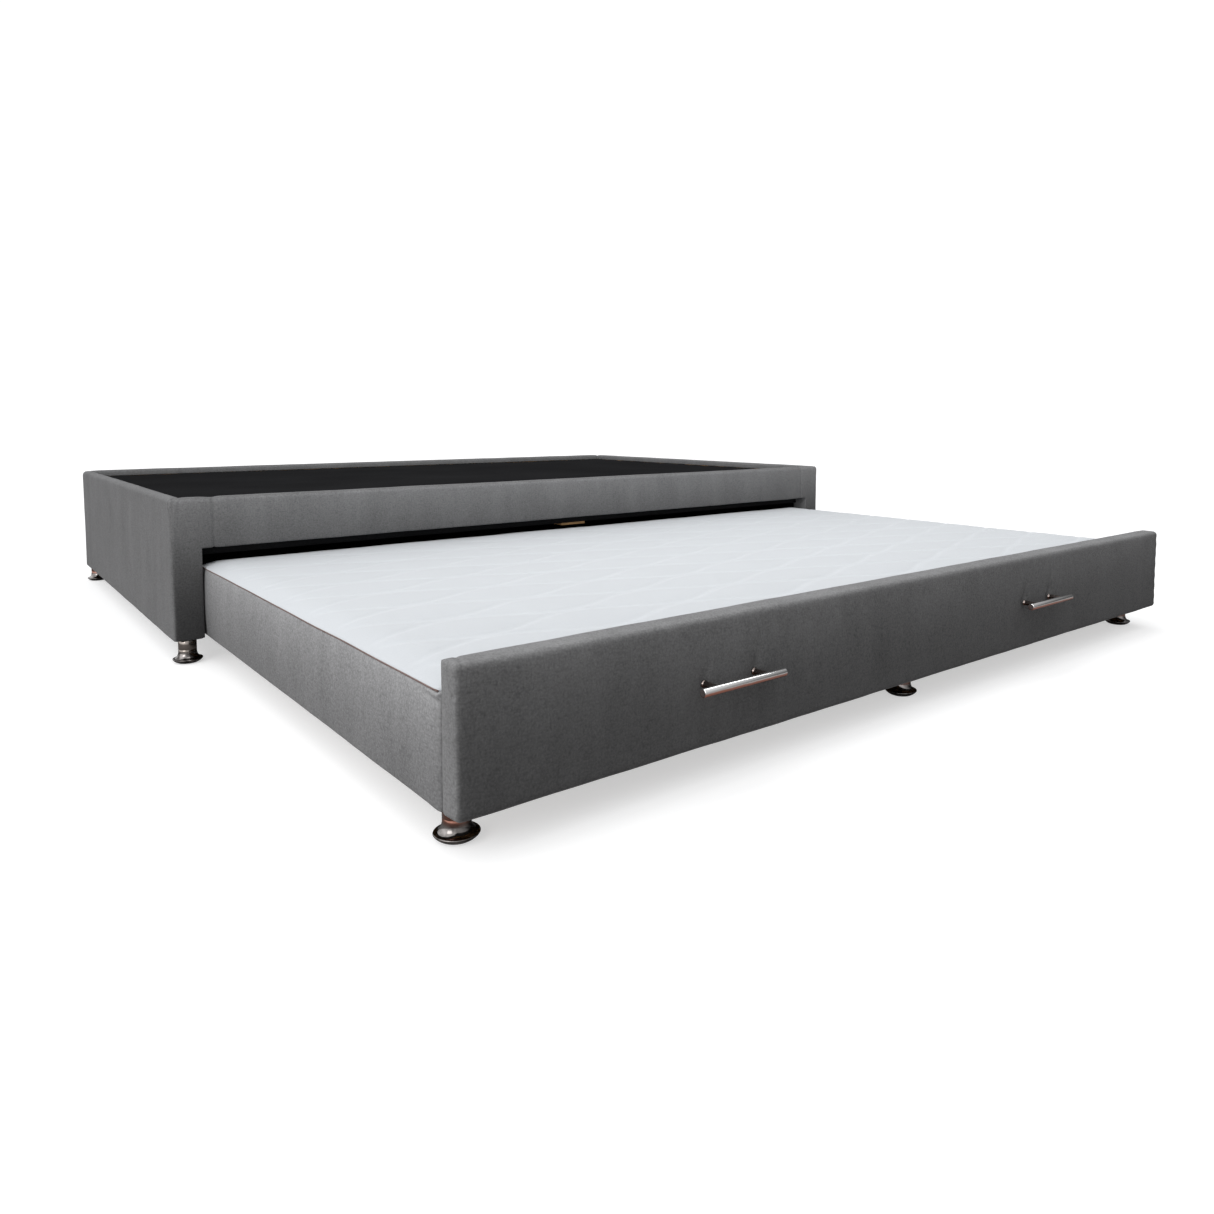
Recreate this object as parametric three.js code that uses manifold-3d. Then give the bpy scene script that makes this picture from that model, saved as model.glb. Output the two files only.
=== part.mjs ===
// Trundle bed: an upholstered base on metal feet, with a lower bed that rolls out from under it.
// Millimetres, +Z up. X runs along the bed, -Y is the side where the lower bed comes out.
// Shapes are drawn with y = 0 on the base's front face; the last lines move the whole bed so
// that its origin is at the middle of its footprint, on the floor.
import * as THREE from 'three';
import { mergeVertices } from 'three/addons/utils/BufferGeometryUtils.js';
import Module from 'manifold-3d';

const wasm = await Module();
wasm.setup();

// ---- driving dimensions ----
const BASE_LENGTH = 1950;
const BASE_DEPTH = 1250;
const BASE_HEIGHT = 336;
const FOOT_HEIGHT = 50;
const FOOT_STEM_RADIUS = 17.5;
const FOOT_FLANGE_RADIUS = 28;
const FOOT_RIM_TOP = 9;
const FOOT_FLARE_TOP = 24;
const FOOT_CHAMFER = 3;
const FOOT_FLARE_HANDLES = [5, 4, 8];
const FOOT_FROM_END = 28;
const FOOT_FROM_FACE = 22;
const FOOT_FROM_BACK = 30;
const OPENING_TOP = 232;
const POST_WIDTH = 57;
const POST_DEPTH = 54;
const RIM_LIP = 18;
const RIM_WIDTH = 25;

const PULLED_OUT = 1092;
const PANEL_LENGTH = 1826;
const PANEL_TOP = 229;
const PANEL_THICKNESS = 40;
const BODY_LENGTH = 1828;
const BODY_BEHIND_FACE = 64;
const BODY_BOTTOM = 52;
const BODY_CORNER = 48;
const SKIRT_TOP = 188;
const QUILT_TOP = 203;
const TRUNDLE_FOOT_FROM_END = 36;
const TRUNDLE_FOOT_FROM_FACE = 72;

const HANDLE_CENTRES = { left: -500, right: 340 };
const HANDLE_HEIGHT = 139;
const HANDLE_LENGTH = 156;
const HANDLE_SPACING = 96;
const HANDLE_RADIUS = 6;
const HANDLE_STAND_OFF = 30;
const HANDLE_POST_RADIUS = 4.5;

const WHEEL_RADIUS = 25;
const WHEEL_WIDTH = 20;
const WHEEL_SPREAD = 700;
const WHEEL_FROM_FACE = 45;
const AXLE_RADIUS = 4;
const AXLE_LENGTH = 33;

// ---- stock sizes ----
const GAP = 0.3;
const COVER = 6;
const CORNER_PADDING = 10;
const SKIN = 3;
const HEM = 2;
const BOARD = 15;
const BACK_POST = 58;
const CLEAT = 30;
const DECK_BOARD = 9;
const LINING = 2;
const JOIST_WIDTH = 38;
const JOIST_HEIGHT = 70;
const JOIST_SPREAD = 475;
const CENTRE_JOIST_WIDTH = 76;
const CENTRE_JOIST_BOTTOM = 208;
const CENTRE_JOIST_OFFSET = 15;
const RIM_ROUND = 9;
const INNER_ROUND = 7;
const SKIRT = 8;
const FRAME_TOP = 94.7;
const FRONT_RAIL = 50;
const SIDE_RAIL = 20;
const BEAM_WIDTH = 90;
const BEAM_BOTTOM = 62.3;
const TRUNDLE_DECK = 8;
const PANEL_PADDING = 18;
const PANEL_END_PADDING = 14;
const PANEL_TOP_PADDING = 12;
const PANEL_BACK_PADDING = 6;
const BRACKET_SHEET = 3;
const BRACKET_LENGTH = 40;
const BRACKET_INNER = 24.6;
const BRACKET_EAR = 14;
const BRACKET_UNDER_AXLE = 5;
const BRACKET_TIP = 20;
const BRACKET_SHOULDER = 6;
const WHEEL_PLAY = 0.4;
const WHEEL_ROUND = 3;
const WHEEL_HUB = 12;
const WHEEL_RECESS = 2;
const QUILT_ROUND = 6;
const PANEL_ROUND = 8;
const CUT_OVERRUN = 1;
const HANDLE_CHAMFER = 1;
const ROUND_STEPS = 4;
const FOOT_SIDES = 24;
const WHEEL_SIDES = 28;
const BAR_SIDES = 20;

// ---- derived places ----
const HALF = BASE_LENGTH / 2;
const RIM_INNER = HALF - RIM_WIDTH;
const OPENING_HALF = HALF - POST_WIDTH;
const SKIN_BOTTOM = BASE_HEIGHT - RIM_LIP + GAP;
const BOARD_TOP = BASE_HEIGHT - COVER - GAP;
const WOOD_BOTTOM = FOOT_HEIGHT + GAP;
const LINING_TOP = BASE_HEIGHT - RIM_LIP;
const DECK_TOP = LINING_TOP - LINING - GAP;
const CLEAT_TOP = DECK_TOP - DECK_BOARD - GAP;
const CLEAT_OUTER = HALF - COVER - GAP - BOARD - GAP;
const POST_INNER = OPENING_HALF + SKIN + GAP;
const DECK_FRONT = RIM_WIDTH - SKIN - GAP;
const DECK_BACK = BASE_DEPTH - DECK_FRONT;
const PANEL_FRONT = -PULLED_OUT;
const PANEL_BACK = PANEL_FRONT + PANEL_THICKNESS;
const BODY_HALF = BODY_LENGTH / 2;
const BODY_FRONT = PANEL_BACK + GAP;
const CORE_HALF = BODY_HALF - SKIRT - GAP;
const CORE_BACK = BODY_BEHIND_FACE - SKIRT - GAP;
const FRAME_FRONT = BODY_FRONT + GAP;
const FRAME_HALF = CORE_HALF - GAP;
const FRAME_BACK = CORE_BACK - GAP;
const FRAME_CORNER = BODY_CORNER - SKIRT - GAP * 2;
const TRUNDLE_FOOT_Y = PANEL_FRONT + TRUNDLE_FOOT_FROM_FACE;
const TRUNDLE_FOOT_X = PANEL_LENGTH / 2 - TRUNDLE_FOOT_FROM_END;
const BAR_Y = PANEL_FRONT - HANDLE_STAND_OFF;
const FRONT_REACH = PULLED_OUT + HANDLE_STAND_OFF + HANDLE_RADIUS;
const MIDDLE_Y = (BASE_DEPTH - FRONT_REACH) / 2;

// ---- finishes ----
function finish(color, roughness, metalness) {
  return () => new THREE.MeshStandardMaterial({ color, roughness, metalness });
}

const greyFabric = finish(0x5d5d5f, 0.95, 0);
const skirtFabric = finish(0x747476, 0.95, 0);
const whiteQuilt = finish(0xe2e5e8, 0.85, 0);
const blackLining = finish(0x1b1b1c, 0.9, 0);
const pine = finish(0xb98a58, 0.7, 0);
const foam = finish(0xe9dfb6, 0.95, 0);
const plywood = finish(0xc2a071, 0.7, 0);
const chrome = finish(0xb9bbbe, 0.15, 1);
const zincSteel = finish(0x9a9da1, 0.4, 1);
const greyNylon = finish(0x3c3d40, 0.5, 0);

// ---- small makers ----
const bed = new THREE.Group();

function add(name, geometry, material, x = 0, y = 0, z = 0) {
  const mesh = new THREE.Mesh(geometry, material());
  mesh.name = name;
  mesh.position.set(x, y, z);
  bed.add(mesh);
  return mesh;
}

// A box given by its low and high corners.
function block(name, low, high, material) {
  const size = high.map((value, axis) => value - low[axis]);
  const middle = high.map((value, axis) => (value + low[axis]) / 2);
  return add(name, new THREE.BoxGeometry(...size), material, ...middle);
}

function outline(points) {
  const shape = new THREE.Shape();
  shape.moveTo(...points[0]);
  for (const point of points.slice(1)) {
    if (point.length === 2) {
      shape.lineTo(...point);
    } else {
      shape.absarc(...point);
    }
  }
  shape.closePath();
  return shape;
}

// Plan of the lower bed's body, seen from above, with its two rear corners rounded.
function bodyPlan(half, front, back, radius) {
  return [
    [-half, front],
    [half, front],
    [half - radius, back - radius, radius, 0, Math.PI / 2, false],
    [radius - half, back - radius, radius, Math.PI / 2, Math.PI, false],
  ];
}

// A section drawn in X and Z, drawn out along +Y from y = start.
function alongY(shape, start, length) {
  const geometry = new THREE.ExtrudeGeometry(shape, extrusion(length));
  geometry.rotateX(Math.PI / 2);
  geometry.translate(0, start + length, 0);
  return geometry;
}

// A section drawn in Y and Z, drawn out along +X from x = start.
function alongX(shape, start, length) {
  const geometry = new THREE.ExtrudeGeometry(shape, extrusion(length));
  geometry.applyMatrix4(new THREE.Matrix4().set(0, 0, 1, start, 1, 0, 0, 0, 0, 1, 0, 0, 0, 0, 0, 1));
  return geometry;
}

// A plan drawn in X and Y, drawn up from z = start.
function upward(shape, start, length) {
  const geometry = new THREE.ExtrudeGeometry(shape, extrusion(length));
  geometry.translate(0, 0, start);
  return geometry;
}

function extrusion(depth) {
  return { depth, bevelEnabled: false, curveSegments: ROUND_STEPS, steps: 1 };
}

function toSolid(geometry) {
  const bare = geometry.clone();
  bare.deleteAttribute('normal');
  bare.deleteAttribute('uv');
  const merged = mergeVertices(bare);
  const vertProperties = new Float32Array(merged.attributes.position.array);
  const triVerts = new Uint32Array(merged.index.array);
  return new wasm.Manifold(new wasm.Mesh({ numProp: 3, vertProperties, triVerts }));
}

function toGeometry(solid) {
  const mesh = solid.getMesh();
  const geometry = new THREE.BufferGeometry();
  geometry.setAttribute('position', new THREE.BufferAttribute(mesh.vertProperties, 3));
  geometry.setIndex(new THREE.BufferAttribute(mesh.triVerts, 1));
  geometry.computeVertexNormals();
  return geometry;
}

function boxBetween(low, high) {
  const size = high.map((value, axis) => value - low[axis]);
  const geometry = new THREE.BoxGeometry(...size);
  geometry.translate(...high.map((value, axis) => (value + low[axis]) / 2));
  return geometry;
}

// ---- base: boards and posts ----
function baseBoards() {
  const outer = HALF - COVER - GAP;
  for (const [side, sign] of [['left', -1], ['right', 1]]) {
    const xs = [sign * outer, sign * (outer - BOARD)].sort((a, b) => a - b);
    block(`${side}_end_board`, [xs[0], CORNER_PADDING, WOOD_BOTTOM],
      [xs[1], BASE_DEPTH - CORNER_PADDING, BOARD_TOP], pine);
  }
  const backOuter = BASE_DEPTH - COVER - GAP;
  block('back_board', [-RIM_INNER + GAP, backOuter - BOARD, WOOD_BOTTOM],
    [RIM_INNER - GAP, backOuter, BOARD_TOP], pine);
  block('front_rail_board', [-RIM_INNER + GAP, COVER + GAP, OPENING_TOP + HEM + GAP],
    [RIM_INNER - GAP, COVER + GAP + BOARD, BOARD_TOP], pine);
}

function basePosts() {
  for (const [side, sign] of [['left', -1], ['right', 1]]) {
    const xs = [sign * CLEAT_OUTER, sign * POST_INNER].sort((a, b) => a - b);
    block(`front_${side}_post`, [xs[0], COVER + GAP, WOOD_BOTTOM],
      [xs[1], POST_DEPTH - SKIN - GAP, OPENING_TOP - GAP], pine);
    block(`back_${side}_post`, [xs[0], DECK_BACK - BACK_POST, WOOD_BOTTOM],
      [xs[1], DECK_BACK, CLEAT_TOP - CLEAT - GAP], pine);
  }
}

// ---- base: what carries the mattress ----
function deckFrame() {
  const front = DECK_FRONT;
  const back = DECK_BACK;
  const cleatBottom = CLEAT_TOP - CLEAT;
  for (const [side, sign] of [['left', -1], ['right', 1]]) {
    const xs = [sign * CLEAT_OUTER, sign * (CLEAT_OUTER - CLEAT)].sort((a, b) => a - b);
    block(`${side}_deck_cleat`, [xs[0], front, cleatBottom], [xs[1], back, CLEAT_TOP], pine);
  }
  const cleatEnd = CLEAT_OUTER - CLEAT - GAP;
  block('front_deck_cleat', [-cleatEnd, front, cleatBottom],
    [cleatEnd, front + SIDE_RAIL, CLEAT_TOP], pine);
  block('back_deck_cleat', [-cleatEnd, back - CLEAT, cleatBottom],
    [cleatEnd, back, CLEAT_TOP], pine);

  const joistFront = front + SIDE_RAIL + GAP;
  const joistBack = back - CLEAT - GAP;
  const joists = [
    ['left', -JOIST_SPREAD, JOIST_WIDTH, CLEAT_TOP - JOIST_HEIGHT],
    ['centre', CENTRE_JOIST_OFFSET, CENTRE_JOIST_WIDTH, CENTRE_JOIST_BOTTOM],
    ['right', JOIST_SPREAD, JOIST_WIDTH, CLEAT_TOP - JOIST_HEIGHT],
  ];
  for (const [name, x, width, bottom] of joists) {
    block(`${name}_joist`, [x - width / 2, joistFront, bottom],
      [x + width / 2, joistBack, CLEAT_TOP], pine);
  }
  block('deck_board', [-CLEAT_OUTER, front, DECK_TOP - DECK_BOARD],
    [CLEAT_OUTER, back, DECK_TOP], plywood);
  const liningHalf = RIM_INNER - GAP;
  const liningFront = RIM_WIDTH + GAP;
  block('deck_lining', [-liningHalf, liningFront, LINING_TOP - LINING],
    [liningHalf, BASE_DEPTH - liningFront, LINING_TOP], blackLining);
}

// ---- base: padded covers ----
// Section of a cover that goes up a board's outer side, over its top and down to the deck.
// Measured from the outer face (u = 0) inwards.
function hoodSection() {
  const top = BASE_HEIGHT;
  const wall = RIM_WIDTH;
  return [
    [0, FOOT_HEIGHT],
    [0, top - RIM_ROUND],
    [RIM_ROUND, top - RIM_ROUND, RIM_ROUND, Math.PI, Math.PI / 2, true],
    [wall - INNER_ROUND, top - INNER_ROUND, INNER_ROUND, Math.PI / 2, 0, true],
    [wall, SKIN_BOTTOM],
    [wall - SKIN - GAP, SKIN_BOTTOM],
    [wall - SKIN - GAP, top - COVER],
    [COVER, top - COVER],
    [COVER, FOOT_HEIGHT],
  ];
}

// The same section without its hollow, for the part that wraps round the end of the board.
function wrapSection() {
  return [...hoodSection().slice(0, 5), [RIM_WIDTH, FOOT_HEIGHT]];
}

function shifted(points, toOuter, sign) {
  return points.map((point) => {
    if (point.length === 2) {
      return [toOuter + sign * point[0], point[1]];
    }
    const [u, v, radius, from, to, clockwise] = point;
    if (sign > 0) {
      return [toOuter + u, v, radius, from, to, clockwise];
    }
    return [toOuter - u, v, radius, Math.PI - from, Math.PI - to, !clockwise];
  });
}

function endCovers() {
  for (const [side, sign] of [['left', -1], ['right', 1]]) {
    const hood = outline(shifted(hoodSection(), sign * HALF, -sign));
    const wrap = outline(shifted(wrapSection(), sign * HALF, -sign));
    const solid = toSolid(alongY(hood, 0, BASE_DEPTH))
      .add(toSolid(alongY(wrap, 0, COVER)))
      .add(toSolid(alongY(wrap, BASE_DEPTH - COVER, COVER)));
    add(`${side}_end_cover`, toGeometry(solid), greyFabric);
  }
}

function backCover() {
  const section = outline(shifted(hoodSection(), BASE_DEPTH, -1));
  const half = RIM_INNER - GAP;
  add('back_cover', alongX(section, -half, half * 2), greyFabric);
}

function frontCovers() {
  const hood = hoodSection().slice(1, -1);
  const section = outline([
    [0, OPENING_TOP], ...hood,
    [COVER, OPENING_TOP + HEM],
    [RIM_WIDTH, OPENING_TOP + HEM],
    [RIM_WIDTH, OPENING_TOP],
  ]);
  const half = RIM_INNER - GAP;
  add('front_rail_cover', alongX(section, -half, half * 2), greyFabric);
  for (const [side, sign] of [['left', -1], ['right', 1]]) {
    const outer = sign * half;
    const inner = sign * OPENING_HALF;
    const skin = inner + sign * SKIN;
    const plan = outline([
      [outer, 0], [inner, 0], [inner, POST_DEPTH],
      [skin, POST_DEPTH], [skin, COVER], [outer, COVER],
    ]);
    add(`front_${side}_post_cover`,
      upward(plan, FOOT_HEIGHT, OPENING_TOP - GAP - FOOT_HEIGHT), greyFabric);
  }
}

// ---- turned metal foot ----
function footGeometry() {
  const [inwards, upwards, downwards] = FOOT_FLARE_HANDLES;
  const flare = new THREE.CubicBezierCurve(
    new THREE.Vector2(FOOT_FLANGE_RADIUS, FOOT_RIM_TOP),
    new THREE.Vector2(FOOT_FLANGE_RADIUS - inwards, FOOT_RIM_TOP + upwards),
    new THREE.Vector2(FOOT_STEM_RADIUS, FOOT_FLARE_TOP - downwards),
    new THREE.Vector2(FOOT_STEM_RADIUS, FOOT_FLARE_TOP));
  const profile = [
    new THREE.Vector2(0, 0),
    new THREE.Vector2(FOOT_FLANGE_RADIUS - FOOT_CHAMFER, 0),
    new THREE.Vector2(FOOT_FLANGE_RADIUS, FOOT_CHAMFER),
    ...flare.getPoints(ROUND_STEPS + 1),
    new THREE.Vector2(FOOT_STEM_RADIUS, FOOT_HEIGHT),
    new THREE.Vector2(0, FOOT_HEIGHT),
  ];
  return turned(profile, FOOT_SIDES);
}

// A profile of (radius, height) turned about Z.
function turned(profile, sides) {
  const geometry = new THREE.LatheGeometry(profile, sides);
  geometry.rotateX(Math.PI / 2);
  return geometry;
}

function feet() {
  const x = HALF - FOOT_FROM_END;
  const places = [
    ['front_left_foot', -x, FOOT_FROM_FACE],
    ['front_right_foot', x, FOOT_FROM_FACE],
    ['back_left_foot', -x, BASE_DEPTH - FOOT_FROM_BACK],
    ['back_right_foot', x, BASE_DEPTH - FOOT_FROM_BACK],
    ['trundle_left_foot', -TRUNDLE_FOOT_X, TRUNDLE_FOOT_Y],
    ['trundle_middle_foot', 0, TRUNDLE_FOOT_Y],
    ['trundle_right_foot', TRUNDLE_FOOT_X, TRUNDLE_FOOT_Y],
  ];
  for (const [name, footX, footY] of places) {
    add(name, footGeometry(), chrome, footX, footY, 0);
  }
}

// ---- lower bed: wooden frame ----
function trundleFrame() {
  const low = BODY_BOTTOM + GAP;
  const railHeight = FRAME_TOP - low;
  const sideFront = FRAME_FRONT + FRONT_RAIL + GAP;
  const sideBack = FRAME_BACK - SIDE_RAIL - GAP;
  const half = FRAME_HALF;
  // How far in the rounded corner has come where the back rail and a side rail meet.
  const cutIn = FRAME_CORNER - Math.sqrt(FRAME_CORNER ** 2 - (FRAME_CORNER - SIDE_RAIL) ** 2);
  block('trundle_front_rail', [-half, FRAME_FRONT, FOOT_HEIGHT + GAP],
    [half, FRAME_FRONT + FRONT_RAIL, FRAME_TOP], pine);
  const backRail = outline([
    [cutIn - half, FRAME_BACK - SIDE_RAIL], [half - cutIn, FRAME_BACK - SIDE_RAIL],
    [half - FRAME_CORNER, FRAME_BACK], [FRAME_CORNER - half, FRAME_BACK],
  ]);
  add('trundle_back_rail', upward(backRail, low, railHeight), pine);
  for (const [side, sign] of [['left', -1], ['right', 1]]) {
    const plan = outline([
      [sign * (half - SIDE_RAIL), sideFront], [sign * half, sideFront],
      [sign * half, FRAME_BACK - FRAME_CORNER], [sign * (half - cutIn), sideBack],
      [sign * (half - SIDE_RAIL), sideBack],
    ]);
    add(`trundle_${side}_rail`, upward(plan, low, railHeight), pine);
  }
  for (const [name, x] of wheelPlaces()) {
    block(`trundle_${name}_beam`, [x - BEAM_WIDTH / 2, sideFront, BEAM_BOTTOM],
      [x + BEAM_WIDTH / 2, sideBack, FRAME_TOP], pine);
  }
  const plan = outline(bodyPlan(half, FRAME_FRONT, FRAME_BACK, FRAME_CORNER));
  add('trundle_deck', upward(plan, FRAME_TOP + GAP, TRUNDLE_DECK), plywood);
}

// ---- lower bed: foam, quilted top and skirt ----
function trundleMattress() {
  const foamBottom = FRAME_TOP + TRUNDLE_DECK + GAP * 2;
  const core = outline(bodyPlan(FRAME_HALF, FRAME_FRONT, FRAME_BACK, FRAME_CORNER));
  add('trundle_foam', upward(core, foamBottom, SKIRT_TOP - foamBottom), foam);

  const round = QUILT_ROUND;
  const bottom = SKIRT_TOP + GAP;
  const section = outline([
    [-BODY_HALF, bottom],
    [-BODY_HALF, QUILT_TOP - round],
    [-BODY_HALF + round, QUILT_TOP - round, round, Math.PI, Math.PI / 2, true],
    [BODY_HALF - round, QUILT_TOP - round, round, Math.PI / 2, 0, true],
    [BODY_HALF, bottom],
  ]);
  const length = BODY_BEHIND_FACE - BODY_FRONT;
  const plan = outline(bodyPlan(BODY_HALF, BODY_FRONT, BODY_BEHIND_FACE, BODY_CORNER));
  const cutter = upward(plan, bottom - CUT_OVERRUN, QUILT_TOP - bottom + CUT_OVERRUN * 2);
  const top = toSolid(alongY(section, BODY_FRONT, length)).intersect(toSolid(cutter));
  add('quilted_top', toGeometry(top), whiteQuilt);

  const cornerY = BODY_BEHIND_FACE - BODY_CORNER;
  for (const [side, sign] of [['left', -1], ['right', 1]]) {
    const xs = [sign * BODY_HALF, sign * (BODY_HALF - SKIRT)].sort((a, b) => a - b);
    block(`${side}_skirt`, [xs[0], BODY_FRONT, BODY_BOTTOM], [xs[1], cornerY - GAP, SKIRT_TOP], skirtFabric);
  }
  const outer = BODY_CORNER;
  const inner = BODY_CORNER - SKIRT;
  const cornerX = BODY_HALF - BODY_CORNER;
  const wrap = outline([
    [BODY_HALF, cornerY],
    [cornerX, cornerY, outer, 0, Math.PI / 2, false],
    [-cornerX, cornerY, outer, Math.PI / 2, Math.PI, false],
    [SKIRT - BODY_HALF, cornerY],
    [-cornerX, cornerY, inner, Math.PI, Math.PI / 2, true],
    [cornerX, cornerY, inner, Math.PI / 2, 0, true],
  ]);
  add('back_skirt', upward(wrap, BODY_BOTTOM, SKIRT_TOP - BODY_BOTTOM), skirtFabric);
}

// ---- lower bed: upholstered front panel ----
function frontPanel() {
  const half = PANEL_LENGTH / 2;
  const round = PANEL_ROUND;
  const section = outline([
    [PANEL_FRONT, FOOT_HEIGHT + round],
    [PANEL_FRONT, PANEL_TOP - round],
    [PANEL_FRONT + round, PANEL_TOP - round, round, Math.PI, Math.PI / 2, true],
    [PANEL_BACK - round, PANEL_TOP - round, round, Math.PI / 2, 0, true],
    [PANEL_BACK, FOOT_HEIGHT],
    [PANEL_FRONT + round, FOOT_HEIGHT],
    [PANEL_FRONT + round, FOOT_HEIGHT + round, round, -Math.PI / 2, -Math.PI, true],
  ]);
  const low = [-half + PANEL_END_PADDING, PANEL_FRONT + PANEL_PADDING, FOOT_HEIGHT - CUT_OVERRUN];
  const high = [half - PANEL_END_PADDING, PANEL_BACK - PANEL_BACK_PADDING, PANEL_TOP - PANEL_TOP_PADDING];
  const padded = toSolid(alongX(section, -half, half * 2)).subtract(toSolid(boxBetween(low, high)));
  add('front_panel_cover', toGeometry(padded), greyFabric);
  block('front_panel_board', [low[0] + GAP, low[1] + GAP, FOOT_HEIGHT],
    [high[0] - GAP, high[1] - GAP, high[2] - GAP], pine);
}

// ---- bar handles ----
function handles() {
  const chamfer = HANDLE_CHAMFER;
  const half = HANDLE_LENGTH / 2;
  const barProfile = [
    new THREE.Vector2(0, -half),
    new THREE.Vector2(HANDLE_RADIUS - chamfer, -half),
    new THREE.Vector2(HANDLE_RADIUS, -half + chamfer),
    new THREE.Vector2(HANDLE_RADIUS, half - chamfer),
    new THREE.Vector2(HANDLE_RADIUS - chamfer, half),
    new THREE.Vector2(0, half),
  ];
  const postLength = HANDLE_STAND_OFF - HANDLE_RADIUS - GAP * 2;
  const postMiddle = PANEL_FRONT - GAP - postLength / 2;
  for (const [side, centre] of Object.entries(HANDLE_CENTRES)) {
    const bar = new THREE.LatheGeometry(barProfile, BAR_SIDES);
    bar.rotateZ(-Math.PI / 2);
    add(`${side}_handle_bar`, bar, chrome, centre, BAR_Y, HANDLE_HEIGHT);
    for (const [end, sign] of [['inner', centre < 0 ? 1 : -1], ['outer', centre < 0 ? -1 : 1]]) {
      const post = new THREE.CylinderGeometry(HANDLE_POST_RADIUS, HANDLE_POST_RADIUS, postLength, BAR_SIDES);
      add(`${side}_handle_${end}_post`, post, chrome,
        centre + sign * HANDLE_SPACING / 2, postMiddle, HANDLE_HEIGHT);
    }
  }
}

// ---- fixed casters under the back of the lower bed ----
function wheelPlaces() {
  return [['left', -WHEEL_SPREAD], ['middle', 0], ['right', WHEEL_SPREAD]];
}

function wheelGeometry() {
  const bore = AXLE_RADIUS + WHEEL_PLAY;
  const half = WHEEL_WIDTH / 2;
  const round = WHEEL_ROUND;
  const hub = WHEEL_HUB;
  const recess = WHEEL_RECESS;
  const profile = [
    new THREE.Vector2(bore, -half),
    new THREE.Vector2(hub, -half),
    new THREE.Vector2(hub + recess, -half + recess),
    new THREE.Vector2(WHEEL_RADIUS - round - recess, -half + recess),
    new THREE.Vector2(WHEEL_RADIUS - round, -half),
    new THREE.Vector2(WHEEL_RADIUS, -half + round),
    new THREE.Vector2(WHEEL_RADIUS, half - round),
    new THREE.Vector2(WHEEL_RADIUS - round, half),
    new THREE.Vector2(WHEEL_RADIUS - round - recess, half - recess),
    new THREE.Vector2(hub + recess, half - recess),
    new THREE.Vector2(hub, half),
    new THREE.Vector2(bore, half),
    new THREE.Vector2(bore, -half),
  ];
  const geometry = new THREE.LatheGeometry(profile, WHEEL_SIDES);
  geometry.rotateZ(-Math.PI / 2);
  return geometry;
}

// Hat-shaped bracket: two ears screwed to the beam, two legs that hold the axle.
function bracketGeometry() {
  const top = BEAM_BOTTOM - GAP;
  const leg = WHEEL_RADIUS - AXLE_RADIUS - BRACKET_UNDER_AXLE;
  const inner = BRACKET_INNER / 2;
  const outer = inner + BRACKET_SHEET;
  const ear = outer + BRACKET_EAR;
  const under = top - BRACKET_SHEET;
  const half = [[ear, top], [ear, under], [outer, under], [outer, leg], [inner, leg], [inner, under]];
  const mirrored = half.map(([x, z]) => [-x, z]).reverse();
  const body = toSolid(alongY(outline([...half, ...mirrored]), -BRACKET_LENGTH / 2, BRACKET_LENGTH));
  const hole = new THREE.CylinderGeometry(AXLE_RADIUS + GAP, AXLE_RADIUS + GAP, ear * 2, BAR_SIDES);
  hole.rotateZ(Math.PI / 2);
  hole.translate(0, 0, WHEEL_RADIUS);
  let cut = body.subtract(toSolid(hole));
  const side = BRACKET_LENGTH / 2 + CUT_OVERRUN;
  const below = leg - CUT_OVERRUN;
  for (const sign of [-1, 1]) {
    const corner = outline([
      [sign * BRACKET_TIP / 2, below], [sign * side, below], [sign * side, under - BRACKET_SHOULDER],
    ]);
    cut = cut.subtract(toSolid(alongX(corner, -ear, ear * 2)));
  }
  return toGeometry(cut);
}

function casters() {
  for (const [name, x] of wheelPlaces()) {
    const y = -WHEEL_FROM_FACE;
    add(`${name}_caster_bracket`, bracketGeometry(), zincSteel, x, y, 0);
    const axle = new THREE.CylinderGeometry(AXLE_RADIUS, AXLE_RADIUS, AXLE_LENGTH, BAR_SIDES);
    axle.rotateZ(Math.PI / 2);
    add(`${name}_axle`, axle, zincSteel, x, y, WHEEL_RADIUS);
    add(`${name}_wheel`, wheelGeometry(), greyNylon, x, y, WHEEL_RADIUS);
  }
}

baseBoards();
basePosts();
deckFrame();
endCovers();
backCover();
frontCovers();
feet();
trundleFrame();
trundleMattress();
frontPanel();
handles();
casters();
bed.position.y = -MIDDLE_Y;

export default bed;
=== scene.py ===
import math

import bmesh
import bpy
from bpy.props import FloatProperty, FloatVectorProperty, PointerProperty
from mathutils import Matrix, Vector, noise


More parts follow.
